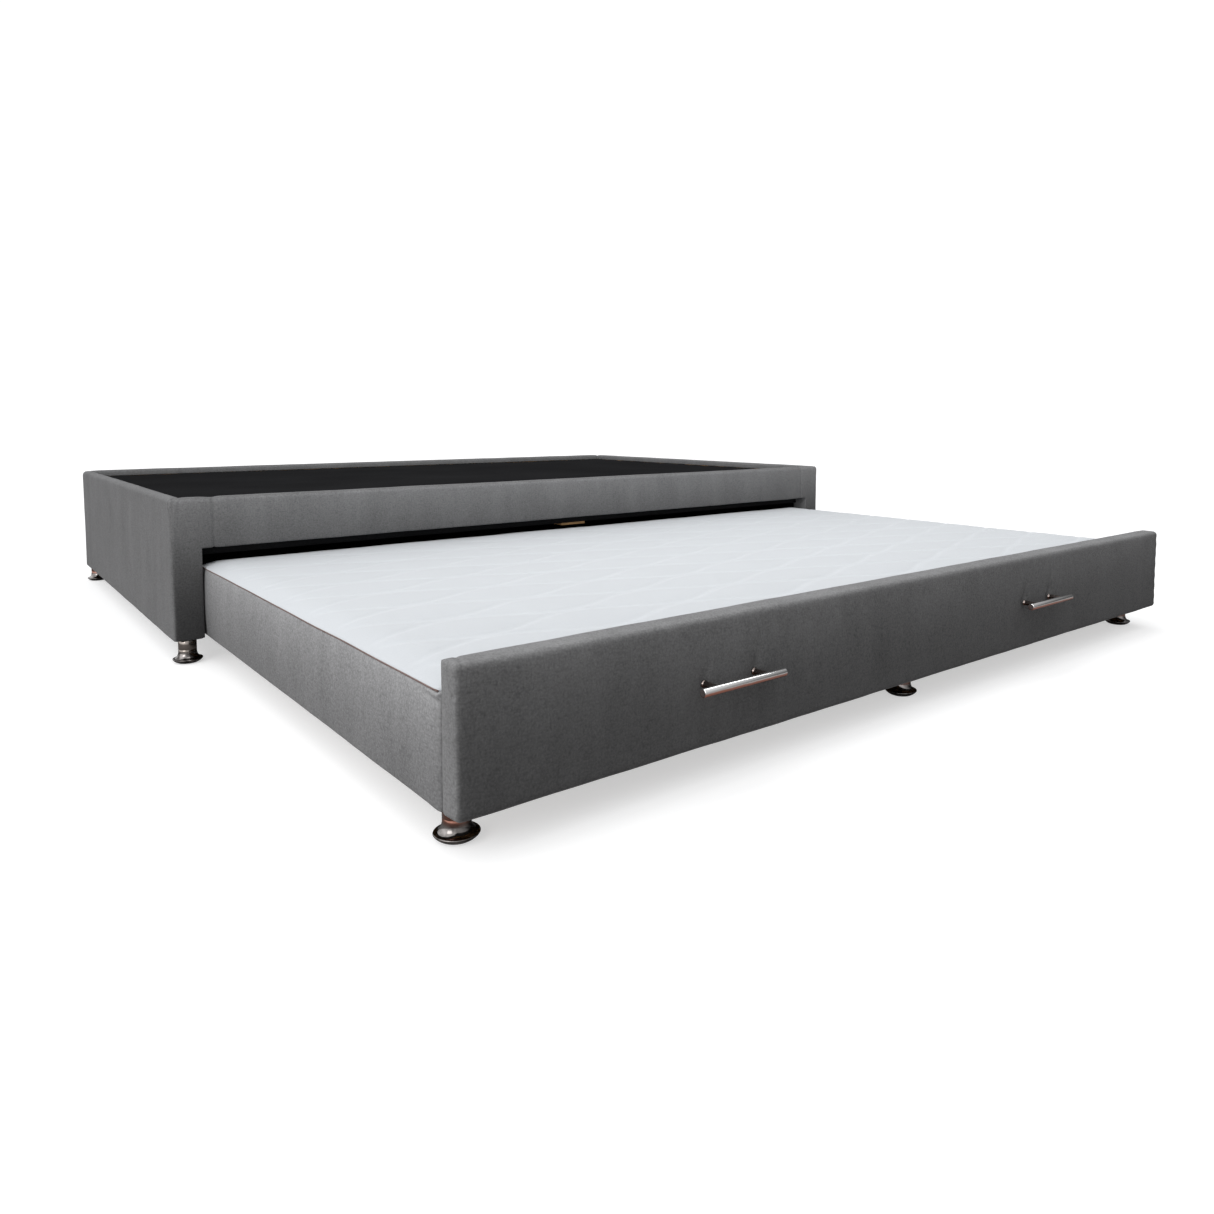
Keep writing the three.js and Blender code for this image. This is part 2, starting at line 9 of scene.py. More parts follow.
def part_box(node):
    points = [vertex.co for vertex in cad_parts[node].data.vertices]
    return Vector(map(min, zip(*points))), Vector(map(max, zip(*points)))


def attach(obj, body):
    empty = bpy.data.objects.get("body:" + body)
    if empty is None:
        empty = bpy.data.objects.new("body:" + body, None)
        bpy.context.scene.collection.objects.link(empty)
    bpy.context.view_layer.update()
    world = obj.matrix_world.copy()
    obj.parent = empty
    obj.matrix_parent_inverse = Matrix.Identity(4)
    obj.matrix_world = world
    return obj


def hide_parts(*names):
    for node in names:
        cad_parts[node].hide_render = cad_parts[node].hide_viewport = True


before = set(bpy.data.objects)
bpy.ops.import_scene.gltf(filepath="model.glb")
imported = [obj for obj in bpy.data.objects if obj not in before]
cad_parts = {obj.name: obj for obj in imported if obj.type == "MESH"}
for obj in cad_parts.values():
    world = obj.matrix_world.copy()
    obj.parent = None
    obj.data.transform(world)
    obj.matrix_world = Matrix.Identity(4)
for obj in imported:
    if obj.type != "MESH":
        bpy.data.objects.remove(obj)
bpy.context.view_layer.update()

bl_info = {
    "name": "Trundle bed",
    "version": (1, 0, 0),
    "blender": (4, 5, 0),
    "location": "3D View > Sidebar > Trundle bed",
    "description": "Upholsters the frame of a trundle bed and sets it in a plain studio",
    "category": "Object",
}

# ---- places taken from the frame, in metres ----
LEFT_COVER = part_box("left_end_cover")
BASE_LOW = Vector((LEFT_COVER[0].x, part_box("front_rail_cover")[0].y, LEFT_COVER[0].z))
BASE_HIGH = Vector((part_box("right_end_cover")[1].x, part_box("back_cover")[1].y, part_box("back_cover")[1].z))
RIM_WIDTH = LEFT_COVER[1].x - BASE_LOW.x
OPENING_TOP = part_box("front_rail_cover")[0].z
OPENING_HALF = -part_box("front_left_post_cover")[1].x
POST_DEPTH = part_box("front_left_post_cover")[1].y - BASE_LOW.y
LINING_LOW, LINING_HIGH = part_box("deck_lining")
SKIRT_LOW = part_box("left_skirt")[0]
SKIRT_HIGH = Vector((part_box("right_skirt")[1].x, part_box("back_skirt")[1].y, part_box("back_skirt")[1].z))
QUILT_LOW, QUILT_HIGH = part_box("quilted_top")
PANEL_LOW, PANEL_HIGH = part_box("front_panel_cover")

QUARTER = math.pi / 2
LAST_FRAME = 20


# ---- sizes and colours a user would change ----
class BedSizes(bpy.types.PropertyGroup):
    """Sizes of the upholstery and of the metal parts."""

    cell: FloatProperty(
        name="Fabric mesh", description="Spacing of the points in large fabric faces",
        default=0.011, unit="LENGTH")
    cloth: FloatProperty(
        name="Fabric thickness", description="Thickness of the upholstery fabric with its backing",
        default=0.0022, unit="LENGTH")
    front_corner: FloatProperty(
        name="Base front corner", description="Plan radius of the base's two front corners",
        default=0.009, unit="LENGTH")
    base_corner: FloatProperty(
        name="Base back corner", description="Plan radius of the base's two back corners",
        default=0.024, unit="LENGTH")
    corner_drop: FloatProperty(
        name="Corner drop", description="How far the rim sinks at the base's two back corners",
        default=0.009, unit="LENGTH")
    rim_round: FloatProperty(
        name="Rim rounding", description="Radius of the padded rim's outer edge",
        default=0.009, unit="LENGTH")
    opening_round: FloatProperty(
        name="Opening rounding", description="Radius of the fabric where it turns into the opening",
        default=0.003, unit="LENGTH")
    seam_from_opening: FloatProperty(
        name="Seam place", description="Distance from the opening's corner to the rail's upright seam",
        default=0.023, unit="LENGTH")
    seam_depth: FloatProperty(
        name="Seam depth", description="How far a sewn seam pulls the fabric in",
        default=0.0024, unit="LENGTH")
    skirt_corner: FloatProperty(
        name="Lower bed corner", description="Plan radius of the lower bed's back corners",
        default=0.030, unit="LENGTH")
    fullness: FloatProperty(
        name="Fullness", description="How far stuffed fabric swells between its seams",
        default=0.0028, unit="LENGTH")
    quilt_repeat: FloatProperty(
        name="Quilting repeat", description="Length of one wave of the quilting",
        default=0.34, unit="LENGTH")
    quilt_row: FloatProperty(
        name="Quilting row", description="Distance between rows of quilting",
        default=0.062, unit="LENGTH")
    quilt_depth: FloatProperty(
        name="Quilting depth", description="Depth of a stitched channel in the quilting",
        default=0.0014, unit="LENGTH")
    panel_round: FloatProperty(
        name="Panel rounding", description="Radius of the front panel's padded edges at its face",
        default=0.0090, unit="LENGTH")
    panel_corner: FloatProperty(
        name="Panel back rounding", description="Radius of the front panel's edges at its back",
        default=0.0030, unit="LENGTH")
    quilt_crown: FloatProperty(
        name="Quilt crown", description="How far in from its edge the quilted top goes on rising",
        default=0.055, unit="LENGTH")


class BedColours(bpy.types.PropertyGroup):
    """Colours of the fabrics and finishes."""

    base_fabric: FloatVectorProperty(
        name="Base fabric", description="Grey of the base's cover",
        default=(0.122, 0.122, 0.123), subtype="COLOR")
    panel_fabric: FloatVectorProperty(
        name="Panel fabric", description="Grey of the front panel's cover",
        default=(0.166, 0.166, 0.167), subtype="COLOR")
    skirt_fabric: FloatVectorProperty(
        name="Skirt fabric", description="Grey of the lower bed's sides",
        default=(0.196, 0.196, 0.198), subtype="COLOR")
    quilting: FloatVectorProperty(
        name="Quilting", description="White of the quilted top",
        default=(0.485, 0.505, 0.525), subtype="COLOR")
    # Also the colour of the black sheets hung under the deck as painted shade
    lining: FloatVectorProperty(
        name="Lining", description="Black of the deck lining",
        default=(0.0105, 0.0105, 0.011), subtype="COLOR")
    pine: FloatVectorProperty(
        name="Pine", description="Colour of the frame timber",
        default=(0.52, 0.30, 0.13), subtype="COLOR")
    foam: FloatVectorProperty(
        name="Foam", description="Colour of the foam block",
        default=(0.80, 0.70, 0.42), subtype="COLOR")
    bright_metal: FloatVectorProperty(
        name="Bright metal", description="Colour of the handles' polish",
        default=(0.96, 0.95, 0.94), subtype="COLOR")
    # painted reflection: the warm floor seen in the underside of the polish
    painted_floor_reflection: FloatVectorProperty(
        name="Painted floor reflection", description="Colour that the polish has on its underside",
        default=(0.62, 0.27, 0.20), subtype="COLOR")


def sizes():
    return bpy.context.scene.trundle_bed_sizes


def colours():
    return bpy.context.scene.trundle_bed_colours


# ---- finishes ----
def blank_finish(name):
    material = bpy.data.materials.new(name)
    material.use_nodes = True
    tree = material.node_tree
    return material, tree, tree.nodes["Principled BSDF"]


def put(tree, kind, values=None, **options):
    """Adds a node. A value that is another node's output is linked, and any other is set."""
    node = tree.nodes.new("ShaderNode" + kind)
    for key, value in options.items():
        setattr(node, key, value)
    for key, value in (values or {}).items():
        if isinstance(value, bpy.types.NodeSocket):
            tree.links.new(value, node.inputs[key])
        else:
            node.inputs[key].default_value = value
    return node


def object_place(tree, stretch=(1, 1, 1)):
    place = put(tree, "TexCoord").outputs["Object"]
    if tuple(stretch) == (1, 1, 1):
        return place
    return put(tree, "Mapping", {"Vector": place, "Scale": stretch}).outputs["Vector"]


def grain(tree, place, scale, detail=2.0, rough=0.5):
    values = {"Vector": place, "Scale": scale, "Detail": detail, "Roughness": rough}
    return put(tree, "TexNoise", values).outputs[0]


def cells(tree, place, scale, feature="SMOOTH_F1"):
    return put(tree, "TexVoronoi", {"Vector": place, "Scale": scale}, feature=feature).outputs["Distance"]


def math_of(tree, operation, *values):
    return put(tree, "Math", dict(enumerate(values)), operation=operation).outputs[0]


def blend_of(tree, parts):
    """The weighted sum of several patterns."""
    total = None
    for socket, weight in parts:
        share = math_of(tree, "MULTIPLY", socket, weight)
        total = share if total is None else math_of(tree, "ADD", total, share)
    return total


def spread(tree, socket, low, high, to_low=0.0, to_high=1.0):
    values = {"Value": socket, "From Min": low, "From Max": high, "To Min": to_low, "To Max": to_high}
    return put(tree, "MapRange", values).outputs["Result"]


def two_tone(tree, factor, first, second):
    mix = put(tree, "Mix", {0: factor}, data_type="RGBA")
    for index, colour in ((6, first), (7, second)):
        if isinstance(colour, bpy.types.NodeSocket):
            tree.links.new(colour, mix.inputs[index])
        else:
            mix.inputs[index].default_value = (*colour, 1.0)
    return mix.outputs[2]


def raise_surface(tree, shader, height, distance, strength):
    bump = put(tree, "Bump", {"Height": height, "Distance": distance, "Strength": strength})
    tree.links.new(bump.outputs["Normal"], shader.inputs["Normal"])


def paint(tree, shader, colour, roughness):
    tree.links.new(colour, shader.inputs["Base Color"])
    tree.links.new(roughness, shader.inputs["Roughness"])


def fix(shader, values):
    """Sets plain numbers on the shader's sockets."""
    for name, value in values.items():
        shader.inputs[name].default_value = value


def tone(colour, factor):
    return tuple(channel * factor for channel in colour)


def shade_painted_by_height(tree, place, low, rise, reach, front_only):
    """Painted shade: the colour is darkened towards the floor, where the shade falls. Low is its tone at the
    bottom, and rise is how much lighter it has become at a height of reach above the cover's lower edge."""
    height = put(tree, "SeparateXYZ", {0: place}).outputs["Z"]
    share = spread(tree, height, BASE_LOW.z, BASE_LOW.z + reach)
    square = math_of(tree, "MULTIPLY", share, share)
    level = math_of(tree, "MULTIPLY_ADD", square, rise, low)
    if not front_only:
        return level
    normal = put(tree, "SeparateXYZ", {0: put(tree, "NewGeometry").outputs["Normal"]}).outputs["Y"]
    facing = spread(tree, normal, -0.55, -0.92)
    change = math_of(tree, "SUBTRACT", level, 1.0)
    return math_of(tree, "MULTIPLY_ADD", facing, change, 1.0)


def chenille(name, colour, nub, relief, sheen, painted_shade):
    """Short-piled upholstery fabric: soft nubs on crossing threads, brushed lighter and darker in patches, and,
    where asked for, painted shade that darkens it towards the floor.
    """
    material, tree, shader = blank_finish(name)
    place = object_place(tree)
    nubs = cells(tree, place, 1 / nub)
    across = grain(tree, object_place(tree, (0.28, 0.28, 1.0)), 0.9 / nub, 2.0, 0.6)
    upright = grain(tree, object_place(tree, (1.0, 1.0, 0.28)), 0.9 / nub, 2.0, 0.6)
    fibres = grain(tree, place, 2.6 / nub, 3.0, 0.7)
    clouds = grain(tree, object_place(tree, (1.0, 1.0, 0.7)), 9.0, 4.0, 0.6)
    streaks = grain(tree, object_place(tree, (1.0, 1.0, 0.16)), 26.0, 3.0, 0.6)
    fine = blend_of(tree, ((nubs, -0.6), (across, 0.45), (upright, 0.45), (fibres, 0.5)))
    pile = spread(tree, fine, 0.05, 0.75)
    patch = spread(tree, blend_of(tree, ((clouds, 0.62), (streaks, 0.38))), 0.30, 0.70)
    mixed = blend_of(tree, ((pile, 0.66), (patch, 0.34)))
    body = two_tone(tree, mixed, tone(colour, 0.55), tone(colour, 1.45))
    # painted shade: the colour darkens towards the floor, on front faces only where asked
    if painted_shade:
        level = shade_painted_by_height(tree, place, *painted_shade)
        body = put(tree, "VectorMath", {0: body, "Scale": level}, operation="SCALE").outputs["Vector"]
    paint(tree, shader, body, spread(tree, pile, 0.0, 1.0, 0.97, 0.82))
    fix(shader, {"Specular IOR Level": 0.2, "Sheen Weight": sheen, "Sheen Roughness": 0.5,
                 "Sheen Tint": (0.93, 0.93, 0.95, 1.0)})
    raise_surface(tree, shader, fine, relief, 0.75)
    return material


def quilting_finish():
    """Knitted mattress ticking, with a painted highlight along the stitched channels."""
    material, tree, shader = blank_finish("White quilting")
    place = object_place(tree)
    channel = put(tree, "Attribute", attribute_name="channel").outputs["Fac"]
    knit = put(tree, "TexWave", {"Vector": place, "Scale": 190.0, "Distortion": 2.5, "Detail": 2.0},
               bands_direction="DIAGONAL").outputs["Fac"]
    loops = cells(tree, place, 420.0)
    cloudy = grain(tree, place, 9.0, 3.0)
    white = colours().quilting
    # painted highlight: the colour is lighter along the stitched channels
    shade = blend_of(tree, ((channel, -0.30), (cloudy, 0.30), (loops, 0.30)))
    body = two_tone(tree, spread(tree, shade, -0.25, 0.55), tone(white, 1.06), tone(white, 0.92))
    paint(tree, shader, body, spread(tree, knit, 0.0, 1.0, 0.72, 0.88))
    fix(shader, {"Specular IOR Level": 0.3, "Sheen Weight": 0.25, "Sheen Roughness": 0.5})
    raise_surface(tree, shader, blend_of(tree, ((knit, 0.5), (loops, -0.5))), 0.0006, 0.5)
    return material


def lining_finish():
    """Black spun lining, pressed in a close pattern of dots."""
    material, tree, shader = blank_finish("Black lining")
    place = object_place(tree)
    dots = cells(tree, place, 520.0, "F1")
    felt = grain(tree, place, 160.0, 4.0, 0.65)
    dusty = grain(tree, place, 3.5, 4.0)
    shade = blend_of(tree, ((dots, 0.4), (felt, 0.35), (dusty, 0.5)))
    black = colours().lining
    body = two_tone(tree, spread(tree, shade, 0.3, 0.9), tone(black, 0.7), tone(black, 1.9))
    paint(tree, shader, body, spread(tree, felt, 0.3, 0.7, 0.72, 0.92))
    fix(shader, {"Specular IOR Level": 0.0})
    raise_surface(tree, shader, blend_of(tree, ((dots, 0.6), (felt, 0.4))), 0.0005, 0.6)
    return material


def timber_finish(name, along, colour):
    """Sawn softwood, with its grain along one axis of the bed."""
    material, tree, shader = blank_finish(name)
    slow = 0.06
    stretch = [slow if axis == along else 1.0 for axis in "XYZ"]
    length = object_place(tree, stretch)
    warp = grain(tree, length, 14.0, 3.0)
    rings = put(tree, "TexWave", {"Vector": length, "Scale": 26.0, "Distortion": 7.0, "Detail": 3.0,
                                  "Detail Scale": 1.4}, wave_type="RINGS",
                rings_direction=along, wave_profile="SAW").outputs["Fac"]
    fibres = grain(tree, object_place(tree, [0.02 if axis == along else 1.0 for axis in "XYZ"]), 700.0, 2.0)
    patchy = grain(tree, object_place(tree), 7.0, 3.0)
    shade = blend_of(tree, ((rings, 0.45), (fibres, 0.3), (patchy, 0.35), (warp, 0.2)))
    body = two_tone(tree, spread(tree, shade, 0.2, 1.0), tone(colour, 1.15), tone(colour, 0.55))
    paint(tree, shader, body, spread(tree, fibres, 0.3, 0.7, 0.62, 0.85))
    raise_surface(tree, shader, blend_of(tree, ((fibres, 0.7), (rings, 0.3))), 0.0005, 0.5)
    return material


def plywood_finish():
    """Birch plywood: flat figured faces, and thin layers that show along the edges."""
    material, tree, shader = blank_finish("Plywood")
    layers = put(tree, "TexWave", {"Vector": object_place(tree), "Scale": 105.0}, bands_direction="Z",
                 wave_profile="SIN").outputs["Fac"]
    figure = put(tree, "TexWave", {"Vector": object_place(tree, (0.08, 1.0, 0.1)), "Scale": 5.0,
                                   "Distortion": 9.0, "Detail": 3.0}, bands_direction="Y").outputs["Fac"]
    pores = grain(tree, object_place(tree, (0.04, 1.0, 1.0)), 600.0, 2.0)
    shade = blend_of(tree, ((layers, 0.25), (figure, 0.4), (pores, 0.35)))
    pale = (0.62, 0.43, 0.24)
    body = two_tone(tree, spread(tree, shade, 0.15, 0.85), tone(pale, 1.1), tone(pale, 0.7))
    paint(tree, shader, body, spread(tree, pores, 0.3, 0.7, 0.6, 0.8))
    raise_surface(tree, shader, blend_of(tree, ((pores, 0.6), (layers, 0.4))), 0.0003, 0.4)
    return material


def foam_finish():
    """Open-celled foam."""
    material, tree, shader = blank_finish("Foam")
    place = object_place(tree)
    pores = cells(tree, place, 700.0, "F1")
    lumps = grain(tree, place, 30.0, 4.0)
    body = two_tone(tree, spread(tree, blend_of(tree, ((pores, 0.6), (lumps, 0.5))), 0.2, 0.8),
                    tone(colours().foam, 0.7), tone(colours().foam, 1.1))
    paint(tree, shader, body, spread(tree, lumps, 0.3, 0.7, 0.88, 0.98))
    raise_surface(tree, shader, pores, 0.0008, 0.7)
    return material


def polished_finish(name, upper, lower, rough):
    """Polished metal with fine turning marks and a few dull smears, and a painted reflection of the floor, in a
    warmer colour, on its underside.
    """
    material, tree, shader = blank_finish(name)
    place = object_place(tree)
    faces = put(tree, "SeparateXYZ", {0: put(tree, "NewGeometry").outputs["Normal"]}).outputs["Z"]
    smears = grain(tree, place, 60.0, 4.0)
    marks = grain(tree, object_place(tree, (1.0, 1.0, 12.0)), 240.0, 2.0)
    turned = blend_of(tree, ((faces, 1.0), (smears, 0.25)))
    # painted reflection: faces that look down to the floor take the lower, warmer colour
    body = two_tone(tree, spread(tree, turned, -0.05, 0.25), lower, upper)
    level = blend_of(tree, ((smears, 0.6), (marks, 0.4)))
    paint(tree, shader, body, spread(tree, level, 0.3, 0.7, rough * 0.6, rough * 1.7))
    fix(shader, {"Metallic": 1.0})
    raise_surface(tree, shader, marks, 0.0001, 0.25)
    return material


def zinc_finish():
    """Zinc-plated sheet steel with a faint spangle."""
    material, tree, shader = blank_finish("Zinc steel")
    place = object_place(tree)
    spangle = cells(tree, place, 180.0, "F1")
    dull = grain(tree, place, 45.0, 4.0)
    body = two_tone(tree, spread(tree, blend_of(tree, ((spangle, 0.6), (dull, 0.5))), 0.2, 0.8),
                    (0.46, 0.47, 0.50), (0.70, 0.70, 0.68))
    paint(tree, shader, body, spread(tree, dull, 0.3, 0.7, 0.30, 0.50))
    fix(shader, {"Metallic": 1.0})
    raise_surface(tree, shader, dull, 0.0002, 0.3)
    return material


def nylon_finish():
    """Moulded grey nylon, scuffed where it runs."""
    material, tree, shader = blank_finish("Wheel nylon")
    place = object_place(tree)
    stipple = grain(tree, place, 900.0, 2.0)
    scuffs = grain(tree, object_place(tree, (6.0, 1.0, 1.0)), 60.0, 4.0, 0.7)
    body = two_tone(tree, spread(tree, scuffs, 0.4, 0.8), (0.045, 0.046, 0.05), (0.12, 0.12, 0.12))
    paint(tree, shader, body, spread(tree, scuffs, 0.3, 0.7, 0.38, 0.66))
    raise_surface(tree, shader, stipple, 0.0002, 0.35)
    return material


FINISHES = {}


def finish_named(name, make, *details):
    """Each finish is made once and shared by the pieces that have it."""
    if name not in FINISHES:
        FINISHES[name] = make(*details)
    return FINISHES[name]


# For each fabric: its material, the size and relief of its nubs, its sheen and its painted shade, which darkens
# it towards the floor.
WEAVES = {
    "base": ("Grey chenille", 0.0026, 0.0010, 0.06, (0.33, 1.10, 0.286, True)),
    "panel": ("Panel chenille", 0.0026, 0.0011, 0.06, (0.42, 0.97, 0.286, True)),
    "skirt": ("Skirt chenille", 0.0032, 0.0013, 0.04, (0.78, 0.58, 0.140, False)),
}


def fabric_of(part):
    name, *weave = WEAVES[part]
    return finish_named(part, chenille, name, tuple(getattr(colours(), part + "_fabric")), *weave)


def handle_metal():
    tones = tuple(colours().bright_metal), tuple(colours().painted_floor_reflection)
    return finish_named("handle", polished_finish, "Handle chrome", *tones, 0.08)


# ---- making meshes ----
def steps_between(start, end, cell):
    """Evenly spaced stations from start to end, both included."""
    count = max(1, round(abs(end - start) / cell))
    return [start + (end - start) * step / count for step in range(count + 1)]


def limited(value):
    return min(1.0, max(0.0, value))


def from_sides(point, low, high):
    """Distance in plan to the nearest side of a box."""
    return min(point.x - low.x, high.x - point.x, point.y - low.y, high.y - point.y)


def arc(centre, radius, start, end, steps):
    """Points on an arc, as (across, up) pairs."""
    angles = [start + (end - start) * step / steps for step in range(steps + 1)]
    return [(centre[0] + radius * math.cos(a), centre[1] + radius * math.sin(a)) for a in angles]


def quarter(centre, radius, start, steps):
    """Points on a quarter turn, clockwise from start."""
    return arc(centre, radius, start, start - QUARTER, steps)


def net(columns, rows, place):
    """A grid of quads whose corner at column i and row j is put at place(i, j)."""
    mesh = bmesh.new()
    bmesh.ops.create_grid(mesh, x_segments=columns, y_segments=rows, size=1.0)
    for vert in mesh.verts:
        i = round((vert.co.x + 1) / 2 * columns)
        j = round((vert.co.y + 1) / 2 * rows)
        vert.co = place(i, j)
    bmesh.ops.remove_doubles(mesh, verts=mesh.verts, dist=1e-5)
    return mesh


def skin(paths, heights):
    """A net over paths in plan, each at its own height."""
    return net(len(paths[0]) - 1, len(paths) - 1, lambda i, j: Vector((*paths[j][i], heights[j])))


def moved(mesh, place):
    bmesh.ops.translate(mesh, vec=place, verts=mesh.verts)
    return mesh


def piece_from(mesh, name, finish, body, smooth=True):
    """Turns a bmesh into a finished piece that rides on a body of the frame."""
    for face in mesh.faces:
        face.smooth = smooth
    data = bpy.data.meshes.new(name)
    mesh.to_mesh(data)
    mesh.free()
    data.materials.append(finish)
    piece = bpy.data.objects.new(name, data)
    bpy.context.scene.collection.objects.link(piece)
    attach(piece, body)
    return piece


def thicken(piece, thickness):
    """Gives a skin its thickness, inwards from its outer face."""
    wall = piece.modifiers.new("Thickness", "SOLIDIFY")
    wall.thickness = thickness
    wall.offset = -1.0
    wall.use_even_offset = False


def subdivide(piece):
    smooth = piece.modifiers.new("Smooth", "SUBSURF")
    smooth.levels = 1
    smooth.render_levels = 1


def move_points(mesh, shift):
    """Moves every point along its own normal by shift(point, normal)."""
    mesh.normal_update()
    moves = [(vert, vert.normal * shift(vert.co, vert.normal)) for vert in mesh.verts]
    for vert, move in moves:
        vert.co += move


def ripple(point, seed, length):
    """Smooth unevenness between -1 and 1."""
    return noise.noise(Vector((point.x + seed, point.y - seed, point.z + 2 * seed)) / length)


def dent(distance, width):
    """A soft groove: 1 at its middle, falling away over its width."""
    return math.exp(-((distance / width) ** 2))


def swell(mesh, held, pressure, reach):
    """Fills fabric out by cloth simulation. Held points stay, and no other moves further than reach."""
    data = bpy.data.meshes.new("swelling")
    mesh.to_mesh(data)
    trial = bpy.data.objects.new("swelling", data)
    scene = bpy.context.scene
    scene.collection.objects.link(trial)
    trial.vertex_groups.new(name="held").add(held, 1.0, "REPLACE")
    cloth = trial.modifiers.new("Cloth", "CLOTH")
    cloth.settings.vertex_group_mass = "held"
    cloth.settings.quality = 4
    cloth.settings.use_pressure = True
    cloth.settings.uniform_pressure_force = pressure
    cloth.settings.effector_weights.gravity = 0.0
    cloth.collision_settings.use_collision = False
    for number in range(1, LAST_FRAME + 1):
        scene.frame_set(number)
    filled = trial.evaluated_get(bpy.context.evaluated_depsgraph_get()).to_mesh()
    mesh.verts.ensure_lookup_table()
    moves = [point.co - mesh.verts[index].co for index, point in enumerate(filled.vertices)]
    longest = max(max(move.length for move in moves), 1e-9)
    share = min(1.0, reach / longest)
    for vert, move in zip(mesh.verts, moves):
        vert.co += move * share
    bpy.data.objects.remove(trial)
    scene.frame_set(1)


# ---- the base's cover ----
CORNER_STEPS = 5
SHARPEST = 0.0015


def ring(low, high, radii, inset, sides):
    """Points round a box seen from above, from its front left corner, drawn in by inset.
    Radii are those of the front and the back corners. Sides holds, for each straight side, the
    stations between its two corners as shares of its length."""
    front_turn, back_turn = (max(radius - inset, SHARPEST) for radius in radii)
    left, right, front, back = low.x + inset, high.x - inset, low.y + inset, high.y - inset
    centres = [(left + front_turn, front + front_turn, front_turn),
               (right - front_turn, front + front_turn, front_turn),
               (right - back_turn, back - back_turn, back_turn),
               (left + back_turn, back - back_turn, back_turn)]
    corners = []
    for number, (x, y, turn) in enumerate(centres):
        start = math.pi + number * QUARTER
        angles = [start + QUARTER * step / CORNER_STEPS for step in range(CORNER_STEPS + 1)]
        corners.append([Vector((x + turn * math.cos(a), y + turn * math.sin(a))) for a in angles])
    points = []
    for number, corner in enumerate(corners):
        following = corners[(number + 1) % len(corners)]
        points += corner
        points += [corner[-1].lerp(following[0], share) for share in sides[number]]
    return points + points[:1]


def shares(start, end, places):
    return [(place - start) / (end - start) for place in places]


def base_section(size):
    """The cover's section from under the board, up the outside, over the rim and down to the deck."""
    under = BASE_LOW.z - size.cloth - 0.0003
    foot_round = 0.003
    top = BASE_HIGH.z
    inner_round = 0.007
    section = [(0.020, under), (0.012, under), (0.006, under)]
    section += quarter((foot_round, under + foot_round), foot_round, -QUARTER, 3)
    section += [(0.0, z) for z in steps_between(0.062, OPENING_TOP, size.cell)]
    above = steps_between(OPENING_TOP + size.opening_round, top - size.rim_round - 0.004, size.cell)
    section += [(0.0, z) for z in above]
    section += quarter((size.rim_round, top - size.rim_round), size.rim_round, math.pi, 4)
    section += quarter((RIM_WIDTH - inner_round, top - inner_round), inner_round, QUARTER, 3)
    section += [(RIM_WIDTH, top - 0.012), (RIM_WIDTH, LINING_HIGH.z - 0.0005)]
    return section


def cut_opening(mesh, size):
    """Cuts the lower bed's opening out of the front, and turns its edges in."""
    edge_x = OPENING_HALF + size.opening_round
    edge_z = OPENING_TOP + size.opening_round
    near_front = BASE_LOW.y + 0.024

    def inside(face):
        middle = face.calc_center_median()
        return abs(middle.x) < edge_x and middle.z < edge_z and middle.y < near_front

    def spot(vert):
        return tuple(round(value, 6) for value in vert.co)

    bmesh.ops.delete(mesh, geom=[face for face in mesh.faces if inside(face)], context="FACES")

    def on_opening(vert):
        jamb = abs(abs(vert.co.x) - edge_x) < 1e-4 and vert.co.z < edge_z + 1e-4
        head = abs(vert.co.z - edge_z) < 1e-4 and abs(vert.co.x) < edge_x + 1e-4
        return (jamb or head) and vert.co.y < BASE_LOW.y + 0.001

    run = [edge for edge in mesh.edges if edge.is_boundary and all(on_opening(v) for v in edge.verts)]
    sides = {}
    for vert in {v for edge in run for v in edge.verts}:
        is_jamb = abs(abs(vert.co.x) - edge_x) < 1e-4
        is_head = abs(vert.co.z - edge_z) < 1e-4
        sides[spot(vert)] = (is_jamb, is_head)

    def turn_in(run, marks, x_move, y_move, z_move):
        made = bmesh.ops.extrude_edge_only(mesh, edges=run)["geom"]
        verts = [item for item in made if isinstance(item, bmesh.types.BMVert)]
        edges = [item for item in made if isinstance(item, bmesh.types.BMEdge)]
        fresh = {}
        for vert in verts:
            is_jamb, is_head = marks[spot(vert)]
            if is_jamb:
                vert.co.x -= math.copysign(x_move, vert.co.x)
            if is_head:
                vert.co.z -= z_move
            vert.co.y += y_move
            fresh[spot(vert)] = (is_jamb, is_head)
        return [edge for edge in edges if all(v in verts for v in edge.verts)], fresh

    turns = 3
    radius = size.opening_round
    for step in range(turns):
        before, after = QUARTER * step / turns, QUARTER * (step + 1) / turns
        across = radius * (math.sin(after) - math.sin(before))
        deep = radius * (math.cos(before) - math.cos(after))
        run, sides = turn_in(run, sides, across, deep, across)
    for depth in (0.008, 0.014 - radius):
        run, sides = turn_in(run, sides, 0.0, depth, 0.0)
    jambs = [edge for edge in run if all(sides[spot(vert)][0] for vert in edge.verts)
             and abs(edge.verts[0].co.x - edge.verts[1].co.x) < 1e-4]
    rest = POST_DEPTH - 0.022
    for _ in range(3):
        jambs, sides = turn_in(jambs, sides, 0.0, rest / 3, 0.0)


